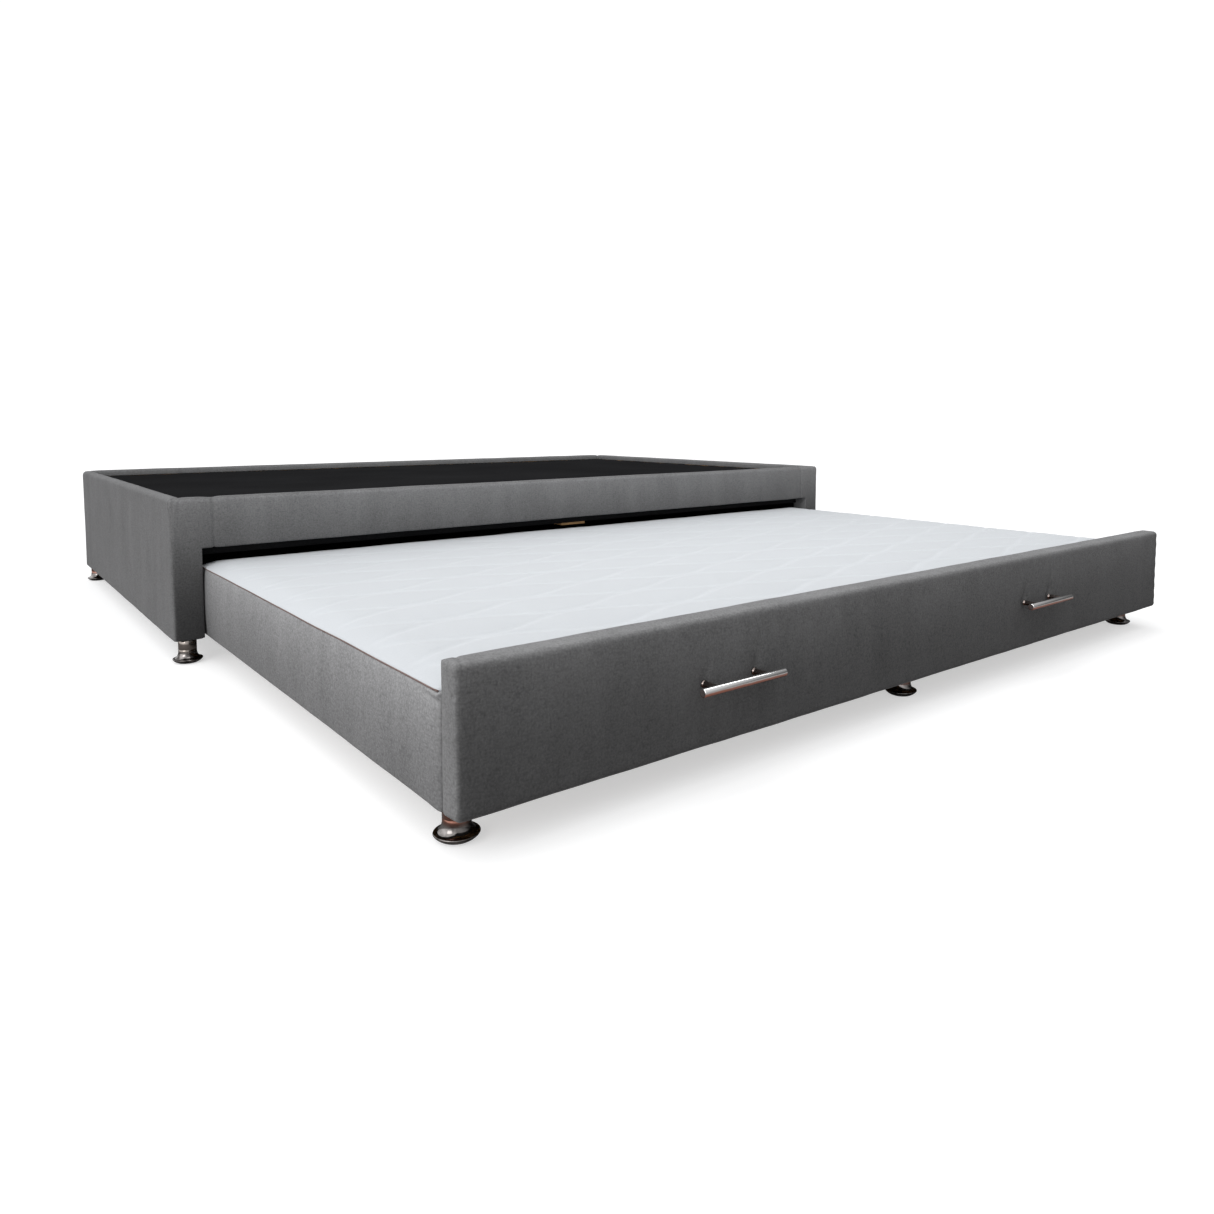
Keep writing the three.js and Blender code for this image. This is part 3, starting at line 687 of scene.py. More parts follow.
def base_cover_shape(point, normal, size, seams):
    """How the sewn cover lies over its padding: seams pulled in, mitred corners, slight unevenness."""
    shift = 0.0006 * ripple(point, 3.1, 0.16) + 0.0004 * ripple(point, 7.7, 0.05)
    on_front = point.y < BASE_LOW.y + RIM_WIDTH + 0.002
    if on_front and point.z > OPENING_TOP - 0.001:
        for seam in seams:
            shift -= size.seam_depth * dent(point.x - seam, 0.0026)
            shift -= 0.0018 * dent(point.x - seam, 0.010) * dent(point.z - BASE_HIGH.z, 0.010)
    if point.z > BASE_HIGH.z - 0.03:
        across = min(abs(point.x - BASE_LOW.x), abs(BASE_HIGH.x - point.x))
        along = min(abs(point.y - BASE_LOW.y), abs(BASE_HIGH.y - point.y))
        if max(across, along) < 0.045:
            shift -= 0.0032 * dent(across - along, 0.0030)
            shift += 0.0022 * dent(abs(across - along) - 0.008, 0.006) * dent(max(across, along), 0.030)
    wall = abs(normal.z) < 0.5
    if wall and point.z < BASE_LOW.z + 0.03:
        shift += 0.0007 * math.sin(point.x * 210 + point.y * 190) * ripple(point, 1.3, 0.12)
    return shift


def make_base_cover():
    size = sizes()
    seams = [sign * (OPENING_HALF - size.seam_from_opening) for sign in (-1, 1)]
    corner, back_corner = size.front_corner, size.base_corner
    opening = OPENING_HALF + size.opening_round
    close = [0.0, 0.0015, 0.004, 0.009]
    near_seams = sorted({seam + side * gap for seam in seams for side in (-1, 1) for gap in close})
    start, end = BASE_LOW.x + corner, BASE_HIGH.x - corner
    left_seam = [x for x in near_seams if x < 0]
    right_seam = [x for x in near_seams if x > 0]
    inner = steps_between(left_seam[-1], right_seam[0], size.cell)
    front = steps_between(start, -opening, size.cell)[1:] + left_seam + inner[1:-1] + right_seam
    front += steps_between(opening, end, size.cell)[:-1]
    side = steps_between(BASE_LOW.y + corner, BASE_HIGH.y - back_corner, size.cell)[1:-1]
    side = shares(BASE_LOW.y + corner, BASE_HIGH.y - back_corner, side)
    back = shares(start, end, steps_between(start, end, size.cell)[1:-1])
    stations = [shares(start, end, front), side, back, list(reversed([1 - share for share in side]))]
    section = base_section(size)
    rings = [ring(BASE_LOW, BASE_HIGH, (corner, back_corner), inset, stations) for inset, _ in section]
    mesh = skin(rings, [height for _, height in section])
    cut_opening(mesh, size)
    mesh.verts.index_update()
    rim_start = BASE_HIGH.z - size.rim_round

    def is_held(vert):
        x, y, z = vert.co
        low_or_top = z < BASE_LOW.z + 0.004 or z > rim_start
        turned_in = y > BASE_LOW.y + 0.0005 and abs(x) < OPENING_HALF + 0.004
        by_opening = y < BASE_LOW.y + 0.001 and OPENING_HALF < abs(x) < OPENING_HALF + 0.006
        by_head = y < BASE_LOW.y + 0.001 and OPENING_TOP <= z < OPENING_TOP + 0.006
        at_seam = y < BASE_LOW.y + 0.001 and min(abs(x - seam) for seam in seams) < 0.002
        at_corner = (min(x - BASE_LOW.x, BASE_HIGH.x - x) < back_corner
                     and min(y - BASE_LOW.y, BASE_HIGH.y - y) < back_corner)
        on_walls = from_sides(vert.co, BASE_LOW, BASE_HIGH) < 0.001
        return (low_or_top or at_corner or not on_walls or by_opening or by_head or at_seam
                or (turned_in and z < OPENING_TOP + 0.003))

    swell(mesh, [vert.index for vert in mesh.verts if is_held(vert)], 1.5, 0.6 * size.fullness)
    move_points(mesh, lambda point, normal: base_cover_shape(point, normal, size, seams))
    for vert in mesh.verts:
        across = min(vert.co.x - BASE_LOW.x, BASE_HIGH.x - vert.co.x)
        away = math.hypot(across, BASE_HIGH.y - vert.co.y)
        near_top = limited((vert.co.z - BASE_HIGH.z + 0.05) / 0.04)
        vert.co.z -= size.corner_drop * dent(away, 0.020) * near_top
    cover = piece_from(mesh, "base_cover", fabric_of("base"), "base")
    thicken(cover, size.cloth)
    subdivide(cover)
    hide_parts("left_end_cover", "right_end_cover", "back_cover", "front_rail_cover",
                "front_left_post_cover", "front_right_post_cover")


# ---- the black lining, and black sheets hung as painted shade under the deck ----
def lining_and_shade_sheet_from(mesh, name, thickness):
    lining = piece_from(mesh, name, finish_named("lining", lining_finish), "base")
    thicken(lining, thickness)
    return lining


def make_deck_lining():
    """A black sheet stretched over the deck, with drag lines from its tacked edges."""
    width = LINING_HIGH.x - LINING_LOW.x
    depth = LINING_HIGH.y - LINING_LOW.y
    columns, rows = round(width / 0.012), round(depth / 0.012)
    middle = (LINING_LOW + LINING_HIGH) / 2

    def place(i, j):
        x = LINING_LOW.x + width * i / columns
        y = LINING_LOW.y + depth * j / rows
        point = Vector((x, y, middle.z))
        edge = from_sides(point, LINING_LOW, LINING_HIGH)
        drag = math.sin((x + y) * 70) * math.exp(-edge / 0.05) * 0.0004
        loose = 0.0007 * ripple(point, 5.0, 0.22) + 0.0004 * ripple(point, 9.0, 0.07)
        return Vector((x, y, LINING_HIGH.z - 0.0006 + drag + loose))

    mesh = net(columns, rows, place)
    lining = lining_and_shade_sheet_from(mesh, "black_deck_lining", 0.0005)
    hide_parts("deck_lining")


def make_bay_shade_sheet():
    """A black sheet, painted shade, hung under the deck round the bay that the lower bed rolls into. Its hem
    drops below the base's sides towards the back, so that the floor behind stays out of sight."""
    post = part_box("back_left_post")
    half = abs(post[0].x) - 0.0035
    start = BASE_LOW.y + POST_DEPTH + 0.003
    back = post[0].y - 0.004
    back_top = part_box("centre_joist")[0].z - 0.0025
    side_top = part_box("left_joist")[0].z - 0.0020
    side_low = BASE_LOW.z + 0.002
    back_low = 0.012
    turn = 0.03
    cell = 0.014
    bend = [math.pi - QUARTER * step / 6 for step in range(1, 6)]
    left = [Vector((-half, y)) for y in steps_between(start, back - turn, cell)]
    left += [Vector((-half + turn + turn * math.cos(a), back - turn + turn * math.sin(a))) for a in bend]
    across = [Vector((x, back)) for x in steps_between(-half + turn, half - turn, cell)]
    path = left + across + [Vector((-point.x, point.y)) for point in reversed(left)]
    rows = 12

    def place(i, j):
        point = path[i]
        along = point.x + point.y
        share = j / rows
        on_side = limited((back - 0.02 - point.y) / 0.35)
        hem = back_low + (side_low - back_low) * on_side
        top = back_top + (side_top - back_top) * on_side
        fold = 0.0020 * math.sin(along * 42) + 0.0012 * ripple(Vector((point.x, point.y, 0)), 3.0, 0.09)
        loose = fold * (1 - share)
        inward = Vector((-math.copysign(loose, point.x) if abs(point.x) > half - turn else 0.0,
                         -loose if point.y > back - turn else 0.0))
        return Vector((point.x + inward.x, point.y + inward.y, hem + (top - hem) * share))

    mesh = net(len(path) - 1, rows, place)
    area = sum(face.calc_area() for face in mesh.faces)
    lining = lining_and_shade_sheet_from(mesh, "black_bay_lining", 0.0005)


def make_rail_shade_flap():
    """A black flap, painted shade, hung from the front cleat just behind the rail."""
    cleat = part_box("front_deck_cleat")
    half = OPENING_HALF - 0.003
    top = cleat[0].z - 0.0005
    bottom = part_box("centre_joist")[0].z + 0.0060
    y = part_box("centre_joist")[0].y - 0.0008
    columns = steps_between(-half, half, 0.015)
    rows = steps_between(bottom, top, 0.010)

    def place(i, j):
        x, z = columns[i], rows[j]
        loose = 0.0002 * ripple(Vector((x, 0.0, z)), 6.0, 0.06)
        return Vector((x, y + loose, z + 0.0006 * ripple(Vector((x, 0, 0)), 2.0, 0.1)))

    mesh = net(len(columns) - 1, len(rows) - 1, place)
    flap = lining_and_shade_sheet_from(mesh, "black_rail_flap", 0.0004)


# ---- the lower bed's upholstery ----
FRONT_TURN = 0.008
FRONT_REACH = 0.0026
RETURN_END = 0.021


def lower_bed_path(size, inset, stations, wrapped=True):
    """Points in plan along the left side, round the back and along the right side.
    A wrapped path also turns in a little across the front at both ends."""
    turn = max(size.skirt_corner - inset, SHARPEST)
    left, right = SKIRT_LOW.x + inset, SKIRT_HIGH.x - inset
    back = SKIRT_HIGH.y - inset
    side, across = stations
    steps = 8
    angles = [math.pi - QUARTER * step / steps for step in range(1, steps)]
    half = [Vector((left, y)) for y in side]
    if wrapped:
        small = max(FRONT_TURN - inset, SHARPEST)
        front = SKIRT_LOW.y - FRONT_REACH + inset
        x, y = left + small, front + small
        start = [Vector((x + (SKIRT_LOW.x + RETURN_END - x) * share, front)) for share in (1.0, 0.5, 0.0)]
        bend = [3 * QUARTER - QUARTER * step / 4 for step in range(1, 5)]
        start += [Vector((x + small * math.cos(a), y + small * math.sin(a))) for a in bend]
        half = start + half
    half += [Vector((left + turn + turn * math.cos(a), back - turn + turn * math.sin(a))) for a in angles]
    mirrored = [Vector((left + right - point.x, point.y)) for point in reversed(half)]
    return half + [Vector((x, back)) for x in across] + mirrored


def make_skirt():
    size = sizes()
    front, corner_start = SKIRT_LOW.y, SKIRT_HIGH.y - size.skirt_corner
    side = steps_between(front + FRONT_TURN + 0.004, corner_start, size.cell)
    across = steps_between(SKIRT_LOW.x + size.skirt_corner, SKIRT_HIGH.x - size.skirt_corner, size.cell)
    low = SKIRT_LOW.z - 0.002
    top = SKIRT_HIGH.z + 0.0015
    roll = 0.005
    section = [(0.018, low), (0.010, low)]
    section += quarter((0.004, low + 0.004), 0.004, -QUARTER, 3)
    section += [(0.0, z) for z in steps_between(low + 0.010, top - roll - 0.024, 0.009)]
    section += [(0.0, z) for z in steps_between(top - roll - 0.019, top - roll - 0.003, 0.004)]
    section += quarter((roll, top - roll), roll, math.pi, 4)
    section += [(roll + 0.005, top - 0.001)]
    paths = [lower_bed_path(size, inset + 0.0012, (side, across)) for inset, _ in section]
    mesh = skin(paths, [height for _, height in section])
    bmesh.ops.reverse_faces(mesh, faces=mesh.faces)
    mesh.verts.index_update()

    def is_held(vert):
        x, y, z = vert.co
        wall = min(x - SKIRT_LOW.x, SKIRT_HIGH.x - x, SKIRT_HIGH.y - y) < 0.013
        return z < low + 0.005 or z > top - roll or y < front + FRONT_TURN or not wall

    swell(mesh, [vert.index for vert in mesh.verts if is_held(vert)], 2.0, size.fullness)

    def shape(point, normal):
        shift = 0.0005 * ripple(point, 2.2, 0.13) + 0.0004 * ripple(point, 4.4, 0.04)
        if abs(normal.z) > 0.6:
            return shift
        if normal.y < -0.7:
            return 0.5 * shift
        gathers = math.sin(point.x * 330 + point.y * 330) * ripple(point, 8.0, 0.1)
        shift += 0.0006 * gathers * math.exp(-(top - point.z) / 0.016)
        from_front = point.y - front
        if from_front < 0.09:
            tuck = top - 0.012 + 0.10 * min(from_front, 0.06)
            shift -= 0.0034 * dent(point.z - tuck, 0.0030) * dent(from_front, 0.040)
            shift += 0.0022 * dent(point.z - tuck - 0.006, 0.0040) * dent(from_front, 0.030)
            shift += 0.0010 * dent(from_front - 0.016, 0.010)
        return shift

    move_points(mesh, shape)
    for vert in mesh.verts:
        vert.co.z += edge_wave(vert.co.x, vert.co.y) * limited((vert.co.z - low) / (top - low))
    skirt = piece_from(mesh, "lower_bed_skirt", fabric_of("skirt"), "trundle")
    thicken(skirt, size.cloth)
    subdivide(skirt)
    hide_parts("left_skirt", "right_skirt", "back_skirt")


def from_stitching(x, y, size):
    """Distance to the nearest line of quilting. The lines are waves that close into leaf shapes."""
    repeat, row = size.quilt_repeat, size.quilt_row
    swing = row * 0.42
    nearest = row
    base = math.floor(y / row)
    for number in range(base - 1, base + 3):
        sign = 1 if number % 2 else -1
        phase = 2 * math.pi * x / repeat
        line = number * row + sign * swing * math.sin(phase)
        slope = swing * 2 * math.pi / repeat * math.cos(phase)
        nearest = min(nearest, abs(y - line) / math.sqrt(1 + slope * slope))
    return nearest


def into_round_corners(x, y, low, high, back_radius, front_radius):
    """Draws the points near a rectangle's corners in, so that its outline turns on an arc."""
    for side in (-1, 1):
        for end, radius in ((-1, front_radius), (1, back_radius)):
            centre_x = high.x - radius if side > 0 else low.x + radius
            centre_y = high.y - radius if end > 0 else low.y + radius
            across, along = (x - centre_x) * side, (y - centre_y) * end
            if across > 0 and along > 0:
                share = max(across, along) / math.hypot(across, along)
                return centre_x + side * across * share, centre_y + end * along * share
    return x, y


def edge_wave(x, y):
    """How far the lower bed's top edge rises and falls along its sides."""
    return 0.0011 * ripple(Vector((x, y, 0.0)), 12.0, 0.15)


def make_quilted_top():
    """A soft crowned sheet: it rises from its sewn edge, and its quilting is drawn in."""
    size = sizes()
    side_gap, front_gap = 0.0018, 0.001
    low = QUILT_LOW + Vector((side_gap, front_gap, 0.0))
    high = QUILT_HIGH - Vector((side_gap, side_gap, 0.0))
    edge_round = 0.0025
    edge_height = QUILT_LOW.z + 0.0032
    rise = high.z - 0.0006 - edge_height
    fine = [0.0, 0.0006, 0.0014, 0.003, 0.006, 0.011]
    cell = 0.010

    def stations(start, end):
        inner = steps_between(start + 0.018, end - 0.018, cell)
        return [start + gap for gap in fine] + inner + [end - gap for gap in reversed(fine)]

    columns, rows = stations(low.x, high.x), stations(low.y, high.y)
    back_radius, front_radius = size.skirt_corner - 0.002, 0.010

    def edge_distance(i, j):
        return min(columns[i] - low.x, high.x - columns[i], rows[j] - low.y, high.y - rows[j])

    def place(i, j):
        x, y = into_round_corners(columns[i], rows[j], low, high, back_radius, front_radius)
        gap = edge_distance(i, j)
        near = min(gap, edge_round)
        fall = edge_round - math.sqrt(max(0.0, edge_round ** 2 - (edge_round - near) ** 2))
        crown = 1 - max(0.0, 1 - gap / size.quilt_crown) ** 2
        return Vector((x, y, edge_height + rise * crown - fall))

    mesh = net(len(columns) - 1, len(rows) - 1, place)
    rim = [edge for edge in mesh.edges if edge.is_boundary]
    for drop, tuck in ((0.0006, 0.0006), (0.0004, 0.006)):
        made = bmesh.ops.extrude_edge_only(mesh, edges=rim)["geom"]
        verts = {item for item in made if isinstance(item, bmesh.types.BMVert)}
        rim = [item for item in made if isinstance(item, bmesh.types.BMEdge) and set(item.verts) <= verts]
        for vert in verts:
            inward = Vector((-math.copysign(1, vert.co.x) if min(vert.co.x - low.x, high.x - vert.co.x) < 0.02
                             else 0.0, 0.0, 0.0))
            if min(vert.co.y - low.y, high.y - vert.co.y) < 0.02:
                inward.y = 1.0 if vert.co.y < (low.y + high.y) / 2 else -1.0
            vert.co += inward * tuck
            vert.co.z -= drop
    bmesh.ops.recalc_face_normals(mesh, faces=mesh.faces)
    mesh.verts.index_update()
    flat = edge_height + rise * 0.9

    def is_held(vert):
        return vert.co.z < flat or from_stitching(vert.co.x, vert.co.y, size) < 0.006

    swell(mesh, [vert.index for vert in mesh.verts if is_held(vert)], 3.0, 0.0012)
    tops = [edge for edge in mesh.edges if min(v.co.z for v in edge.verts) > edge_height]
    bmesh.ops.subdivide_edges(mesh, edges=tops, cuts=1, use_grid_fill=True, smooth=0.0)
    layer = mesh.verts.layers.float.new("channel")
    for vert in mesh.verts:
        inside = limited((from_sides(vert.co, low, high) - 0.004) / 0.03)
        depth = dent(from_stitching(vert.co.x, vert.co.y, size), 0.006) * inside
        vert[layer] = depth
        pucker = 0.5 + 0.5 * math.sin((vert.co.x + 0.6 * vert.co.y) * 520)
        soft = 0.0008 * ripple(vert.co, 6.1, 0.28) + 0.0003 * ripple(vert.co, 1.7, 0.05)
        vert.co.z += soft * inside - size.quilt_depth * depth * (0.85 + 0.15 * pucker)
        vert.co.z += edge_wave(vert.co.x, vert.co.y) * (1.0 - 0.7 * inside)
    quilt = piece_from(mesh, "quilted_mattress_top", finish_named("quilting", quilting_finish),
                       "trundle")
    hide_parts("quilted_top")


def make_binding():
    """A thin taped edge where the white top is sewn to the grey skirt."""
    size = sizes()
    front, corner_start = SKIRT_LOW.y + 0.004, SKIRT_HIGH.y - size.skirt_corner
    side = steps_between(front, corner_start, 0.02)
    across = steps_between(SKIRT_LOW.x + size.skirt_corner, SKIRT_HIGH.x - size.skirt_corner, 0.02)
    radius = 0.0013
    around = 8
    height = SKIRT_HIGH.z + 0.0012
    turns = [2 * math.pi * step / around for step in range(around + 1)]
    paths = [lower_bed_path(size, 0.0026 - radius * math.cos(turn), (side, across), wrapped=False)
             for turn in turns]
    mesh = skin(paths, [height + radius * math.sin(turn) for turn in turns])
    ends = [edge for edge in mesh.edges if edge.is_boundary]
    bmesh.ops.holes_fill(mesh, edges=ends, sides=around)
    bmesh.ops.recalc_face_normals(mesh, faces=mesh.faces)
    for vert in mesh.verts:
        vert.co.z += edge_wave(vert.co.x, vert.co.y)
    finish = finish_named("binding", chenille, "Taped edge", (0.15, 0.105, 0.095), 0.0012, 0.0003, 0.04, None)
    piece_from(mesh, "taped_edge", finish, "trundle")


# ---- the front panel ----
def split_evenly(mesh, extent, cell):
    """Cuts a block's faces into a grid of about square cells."""
    for axis in range(3):
        parallel = [edge for edge in mesh.edges
                    if abs(edge.verts[0].co[axis] - edge.verts[1].co[axis]) > 0.9 * extent[axis]]
        cuts = round(extent[axis] / cell) - 1
        bmesh.ops.subdivide_edges(mesh, edges=parallel, cuts=cuts, use_grid_fill=True)


def rounded(point, low, high, radius):
    """The place of a point of a block's surface once the block's edges have this radius."""
    inner = Vector([min(max(value, first + radius), last - radius)
                    for value, first, last in zip(point, low, high)])
    return inner + (point - inner).normalized() * radius


def make_front_panel():
    """A padded board: an upholstered block with round edges, sewn ends and a few drag lines."""
    size = sizes()
    low = PANEL_LOW + Vector((0.0012, 0.0012, -0.0012))
    high = PANEL_HIGH - Vector((0.0012, 0.0016, 0.0008))
    boxes = [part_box(f"{side}_handle_{end}_post") for side in ("left", "right") for end in ("inner", "outer")]
    posts = [(first + last) / 2 for first, last in boxes]
    mesh = bmesh.new()
    bmesh.ops.create_cube(mesh, size=1.0)
    bmesh.ops.scale(mesh, vec=high - low, verts=mesh.verts)
    moved(mesh, (low + high) / 2)
    split_evenly(mesh, high - low, size.cell / 2)
    front_radius, back_radius = size.panel_round, size.panel_corner
    for vert in mesh.verts:
        share = (vert.co.y - low.y) / (high.y - low.y)
        vert.co = rounded(vert.co, low, high, front_radius + (back_radius - front_radius) * share)
    mesh.verts.index_update()
    seam = 0.1 * size.panel_round

    def is_held(vert):
        x, y, z = vert.co
        return y > high.y - 0.006 or z < low.z + 0.004 or min(x - low.x, high.x - x) < seam

    swell(mesh, [vert.index for vert in mesh.verts if is_held(vert)], 4.0, size.fullness)
    bmesh.ops.subdivide_edges(mesh, edges=mesh.edges, cuts=1, use_grid_fill=True, smooth=0.0)
    bmesh.ops.smooth_vert(mesh, verts=mesh.verts, factor=0.5,
                          use_axis_x=True, use_axis_y=True, use_axis_z=True)
    seam_in = 0.010

    def shape(point, normal):
        end = min(point.x - low.x, high.x - point.x)
        shift = 0.0006 * ripple(point, 2.9, 0.15) + 0.0004 * ripple(point, 5.3, 0.045)
        if end < 0.05 and normal.y < -0.2:
            drag = math.sin(point.z * 260 + 3 * ripple(point, 4.0, 0.08)) * math.exp(-end / 0.015)
            shift += 0.0005 * drag
        if normal.y < -0.6:
            for post in posts:
                across, up = abs(point.x - post.x), abs(point.z - post.z)
                pull = 0.0030 if post.x < 0 else 0.0056
                shift -= pull * dent(math.hypot(across, up * 0.6), 0.016)
                lean = point.x - post.x - 0.25 * (point.z - post.z)
                if point.z > post.z:
                    shift -= 0.55 * pull * dent(lean, 0.0055) * math.exp(-up / 0.032)
                    shift += 0.30 * pull * dent(lean - 0.013, 0.007) * math.exp(-up / 0.038)
        if normal.z > 0.5:
            shift -= 0.0013 * dent(end - seam_in - 0.25 * (point.y - low.y), 0.0025)
        if abs(normal.x) > 0.5 and point.z > high.z - 0.04:
            fold = (point.y - low.y) - 0.018 + 0.3 * (high.z - point.z)
            shift -= 0.0016 * dent(fold, 0.0028)
        return shift

    move_points(mesh, shape)
    panel = piece_from(mesh, "front_panel_upholstery", fabric_of("panel"), "trundle")
    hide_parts("front_panel_cover")


# ---- metal parts ----
def turned_shape(profile, sides):
    """Spins a profile of (radius, height) points about the upright axis into a closed shape."""
    mesh = bmesh.new()
    verts = [mesh.verts.new((radius, 0.0, height)) for radius, height in profile]
    edges = [mesh.edges.new(pair) for pair in zip(verts, verts[1:])]
    bmesh.ops.spin(mesh, geom=verts + edges, cent=(0, 0, 0), axis=(0, 0, 1), dvec=(0, 0, 0),
                   angle=2 * math.pi, steps=sides, use_merge=True, use_duplicate=False)
    bmesh.ops.remove_doubles(mesh, verts=mesh.verts, dist=1e-6)
    bmesh.ops.recalc_face_normals(mesh, faces=mesh.faces)
    return mesh


def curve_profile(first, first_handle, last_handle, last, steps):
    """Points along a smooth curve between two profile points."""
    points = []
    for step in range(1, steps):
        t = step / steps
        weights = ((1 - t) ** 3, 3 * t * (1 - t) ** 2, 3 * t * t * (1 - t), t ** 3)
        knots = (first, first_handle, last_handle, last)
        points.append(tuple(sum(w * knot[k] for w, knot in zip(weights, knots)) for k in (0, 1)))
    return points


def foot_profile(stem, flange, height):
    """A turned foot: a sole cut in at a slope, a wide rim, a hollow flare and a straight stem."""
    edge = 0.0014
    rim = 0.0092
    flare_top = 0.0225
    profile = [(0.0, 0.0), (flange - 0.0098, 0.0), (flange - 0.0088, 0.0004)]
    profile += curve_profile((flange - 0.0088, 0.0004), (flange - 0.0060, 0.0016),
                             (flange - 0.0022, 0.0042), (flange - 0.0004, rim - 0.0026), 6)
    profile += arc((flange - edge, rim - edge), edge, -0.3, QUARTER, 6)
    profile += curve_profile((flange - edge, rim), (flange - 0.0072, rim + 0.0008),
                             (stem + 0.0004, flare_top - 0.0070), (stem, flare_top), 10)
    profile += [(stem, flare_top), (stem, flare_top + 0.004), (stem - 0.0004, flare_top + 0.0045),
                (stem - 0.0004, flare_top + 0.0051), (stem, flare_top + 0.0056)]
    profile += [(stem, height - 0.0006), (stem - 0.0006, height), (0.0, height)]
    return profile


def metal_of_foot(name, stem_dark, stem_light):
    """Polished metal whose colours are painted reflections: dark on the spread base, and another tone on the
    upright stem.
    """
    material, tree, shader = blank_finish(name)
    place = object_place(tree)
    split = put(tree, "SeparateXYZ", {0: place}).outputs["Z"]
    smears = grain(tree, place, 70.0, 4.0)
    marks = grain(tree, object_place(tree, (0.4, 0.4, 30.0)), 90.0, 2.0)
    stem = spread(tree, split, 0.019, 0.025)
    upright = two_tone(tree, smears, stem_dark, stem_light)
    # painted reflections: a dark spread base and a tinted stem
    spread_base = two_tone(tree, spread(tree, smears, 0.35, 0.65), (0.050, 0.045, 0.043), (0.30, 0.28, 0.27))
    rough = blend_of(tree, ((smears, 0.5), (marks, 0.5)))
    paint(tree, shader, two_tone(tree, stem, spread_base, upright), spread(tree, rough, 0.3, 0.7, 0.06, 0.16))
    fix(shader, {"Metallic": 1.0})
    raise_surface(tree, shader, marks, 0.0001, 0.2)
    return material


def make_feet():
    places = {"base": ("front_left", "front_right", "back_left", "back_right"),
              "trundle": ("trundle_left", "trundle_middle", "trundle_right")}
    painted_red_reflection_foot = finish_named("red_reflection_foot", metal_of_foot, "Reddish foot metal", (0.20, 0.085, 0.060),
                           (0.34, 0.18, 0.14))
    painted_grey_reflection_foot = finish_named("grey_reflection_foot", metal_of_foot, "Greyish foot metal", (0.17, 0.15, 0.135),
                           (0.38, 0.34, 0.31))
    for body, names in places.items():
        for name in names:
            # One metal with two painted reflections: grey on the base's front feet, reddish on the others
            finish = painted_grey_reflection_foot if name.startswith("front") else painted_red_reflection_foot
            low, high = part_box(name + "_foot")
            flange = (high.x - low.x) / 2
            top = high.z - 0.0026 if body == "base" else high.z - 0.0016
            mesh = turned_shape(foot_profile(flange * 0.61, flange, top), 56)
            middle = Vector(((low.x + high.x) / 2, (low.y + high.y) / 2, 0.0))
            foot = piece_from(moved(mesh, middle), "turned_foot_" + name, finish, body)
            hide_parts(name + "_foot")


def laid_along(mesh, axis):
    """Turns a shape made about the upright axis so that it runs along X or towards -Y."""
    turns = {"X": Matrix.Rotation(QUARTER, 3, "Y"), "-Y": Matrix.Rotation(QUARTER, 3, "X")}
    bmesh.ops.rotate(mesh, verts=mesh.verts, cent=(0, 0, 0), matrix=turns[axis])


def join_meshes(parts):
    """Puts several bmesh shapes into one."""
    whole = bmesh.new()
    for part in parts:
        data = bpy.data.meshes.new("part")
        part.to_mesh(data)
        part.free()
        whole.from_mesh(data)
        bpy.data.meshes.remove(data)
    return whole


def handle_bar(low, high):
    half = (high.x - low.x) / 2
    radius = (high.z - low.z) / 2
    chamfer = 0.0009
    profile = [(0.0, -half), (radius - chamfer * 1.8, -half)]
    profile += arc((radius - chamfer, -half + chamfer), chamfer, -QUARTER, 0, 3)
    profile += arc((radius - chamfer, half - chamfer), chamfer, 0, QUARTER, 3)
    profile += [(0.0, half)]
    mesh = turned_shape(profile, 48)
    laid_along(mesh, "X")
    return moved(mesh, (low + high) / 2)


def handle_post(low, high, bar_radius):
    """A neck with a slight collar against the panel, sunk into the bar at its other end."""
    neck = (high.x - low.x) / 2
    length = high.y - low.y + bar_radius * 0.7
    profile = [(0.0, 0.0), (neck + 0.0010, 0.0), (neck + 0.0012, 0.0006), (neck + 0.0008, 0.0014)]
    profile += [(neck, 0.0022), (neck, 0.0050), (neck, length - 0.002), (neck, length), (0.0, length)]
    mesh = turned_shape(profile, 40)
    laid_along(mesh, "-Y")
    middle = Vector(((low.x + high.x) / 2, high.y + 0.0002, (low.z + high.z) / 2))
    return moved(mesh, middle)


def make_handles():
    # The posts are the bar's chrome painted darker, as painted shade beside the panel, and warmer below, as a
    # painted reflection of the floor
    shaded_post_metal = finish_named("handle_post", polished_finish, "Handle post metal", (0.30, 0.25, 0.23),
                               (0.16, 0.08, 0.06), 0.16)
    for side in ("left", "right"):
        low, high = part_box(side + "_handle_bar")
        radius = (high.z - low.z) / 2
        bar = piece_from(handle_bar(low, high), side + "_bar_handle", handle_metal(), "trundle")
        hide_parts(side + "_handle_bar")
        nodes = [f"{side}_handle_{end}_post" for end in ("inner", "outer")]
        necks = join_meshes([handle_post(*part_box(node), radius) for node in nodes])
        posts = piece_from(necks, side + "_handle_necks", shaded_post_metal, "trundle")
        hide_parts(*nodes)


def caster_screw(place, radius):
    """A domed screw head, drawn dome down."""
    profile = [(0.0, -0.0024), (radius * 0.45, -0.0021), (radius * 0.85, -0.0011), (radius, 0.0), (0.0, 0.0)]
    return moved(turned_shape(profile, 20), place)


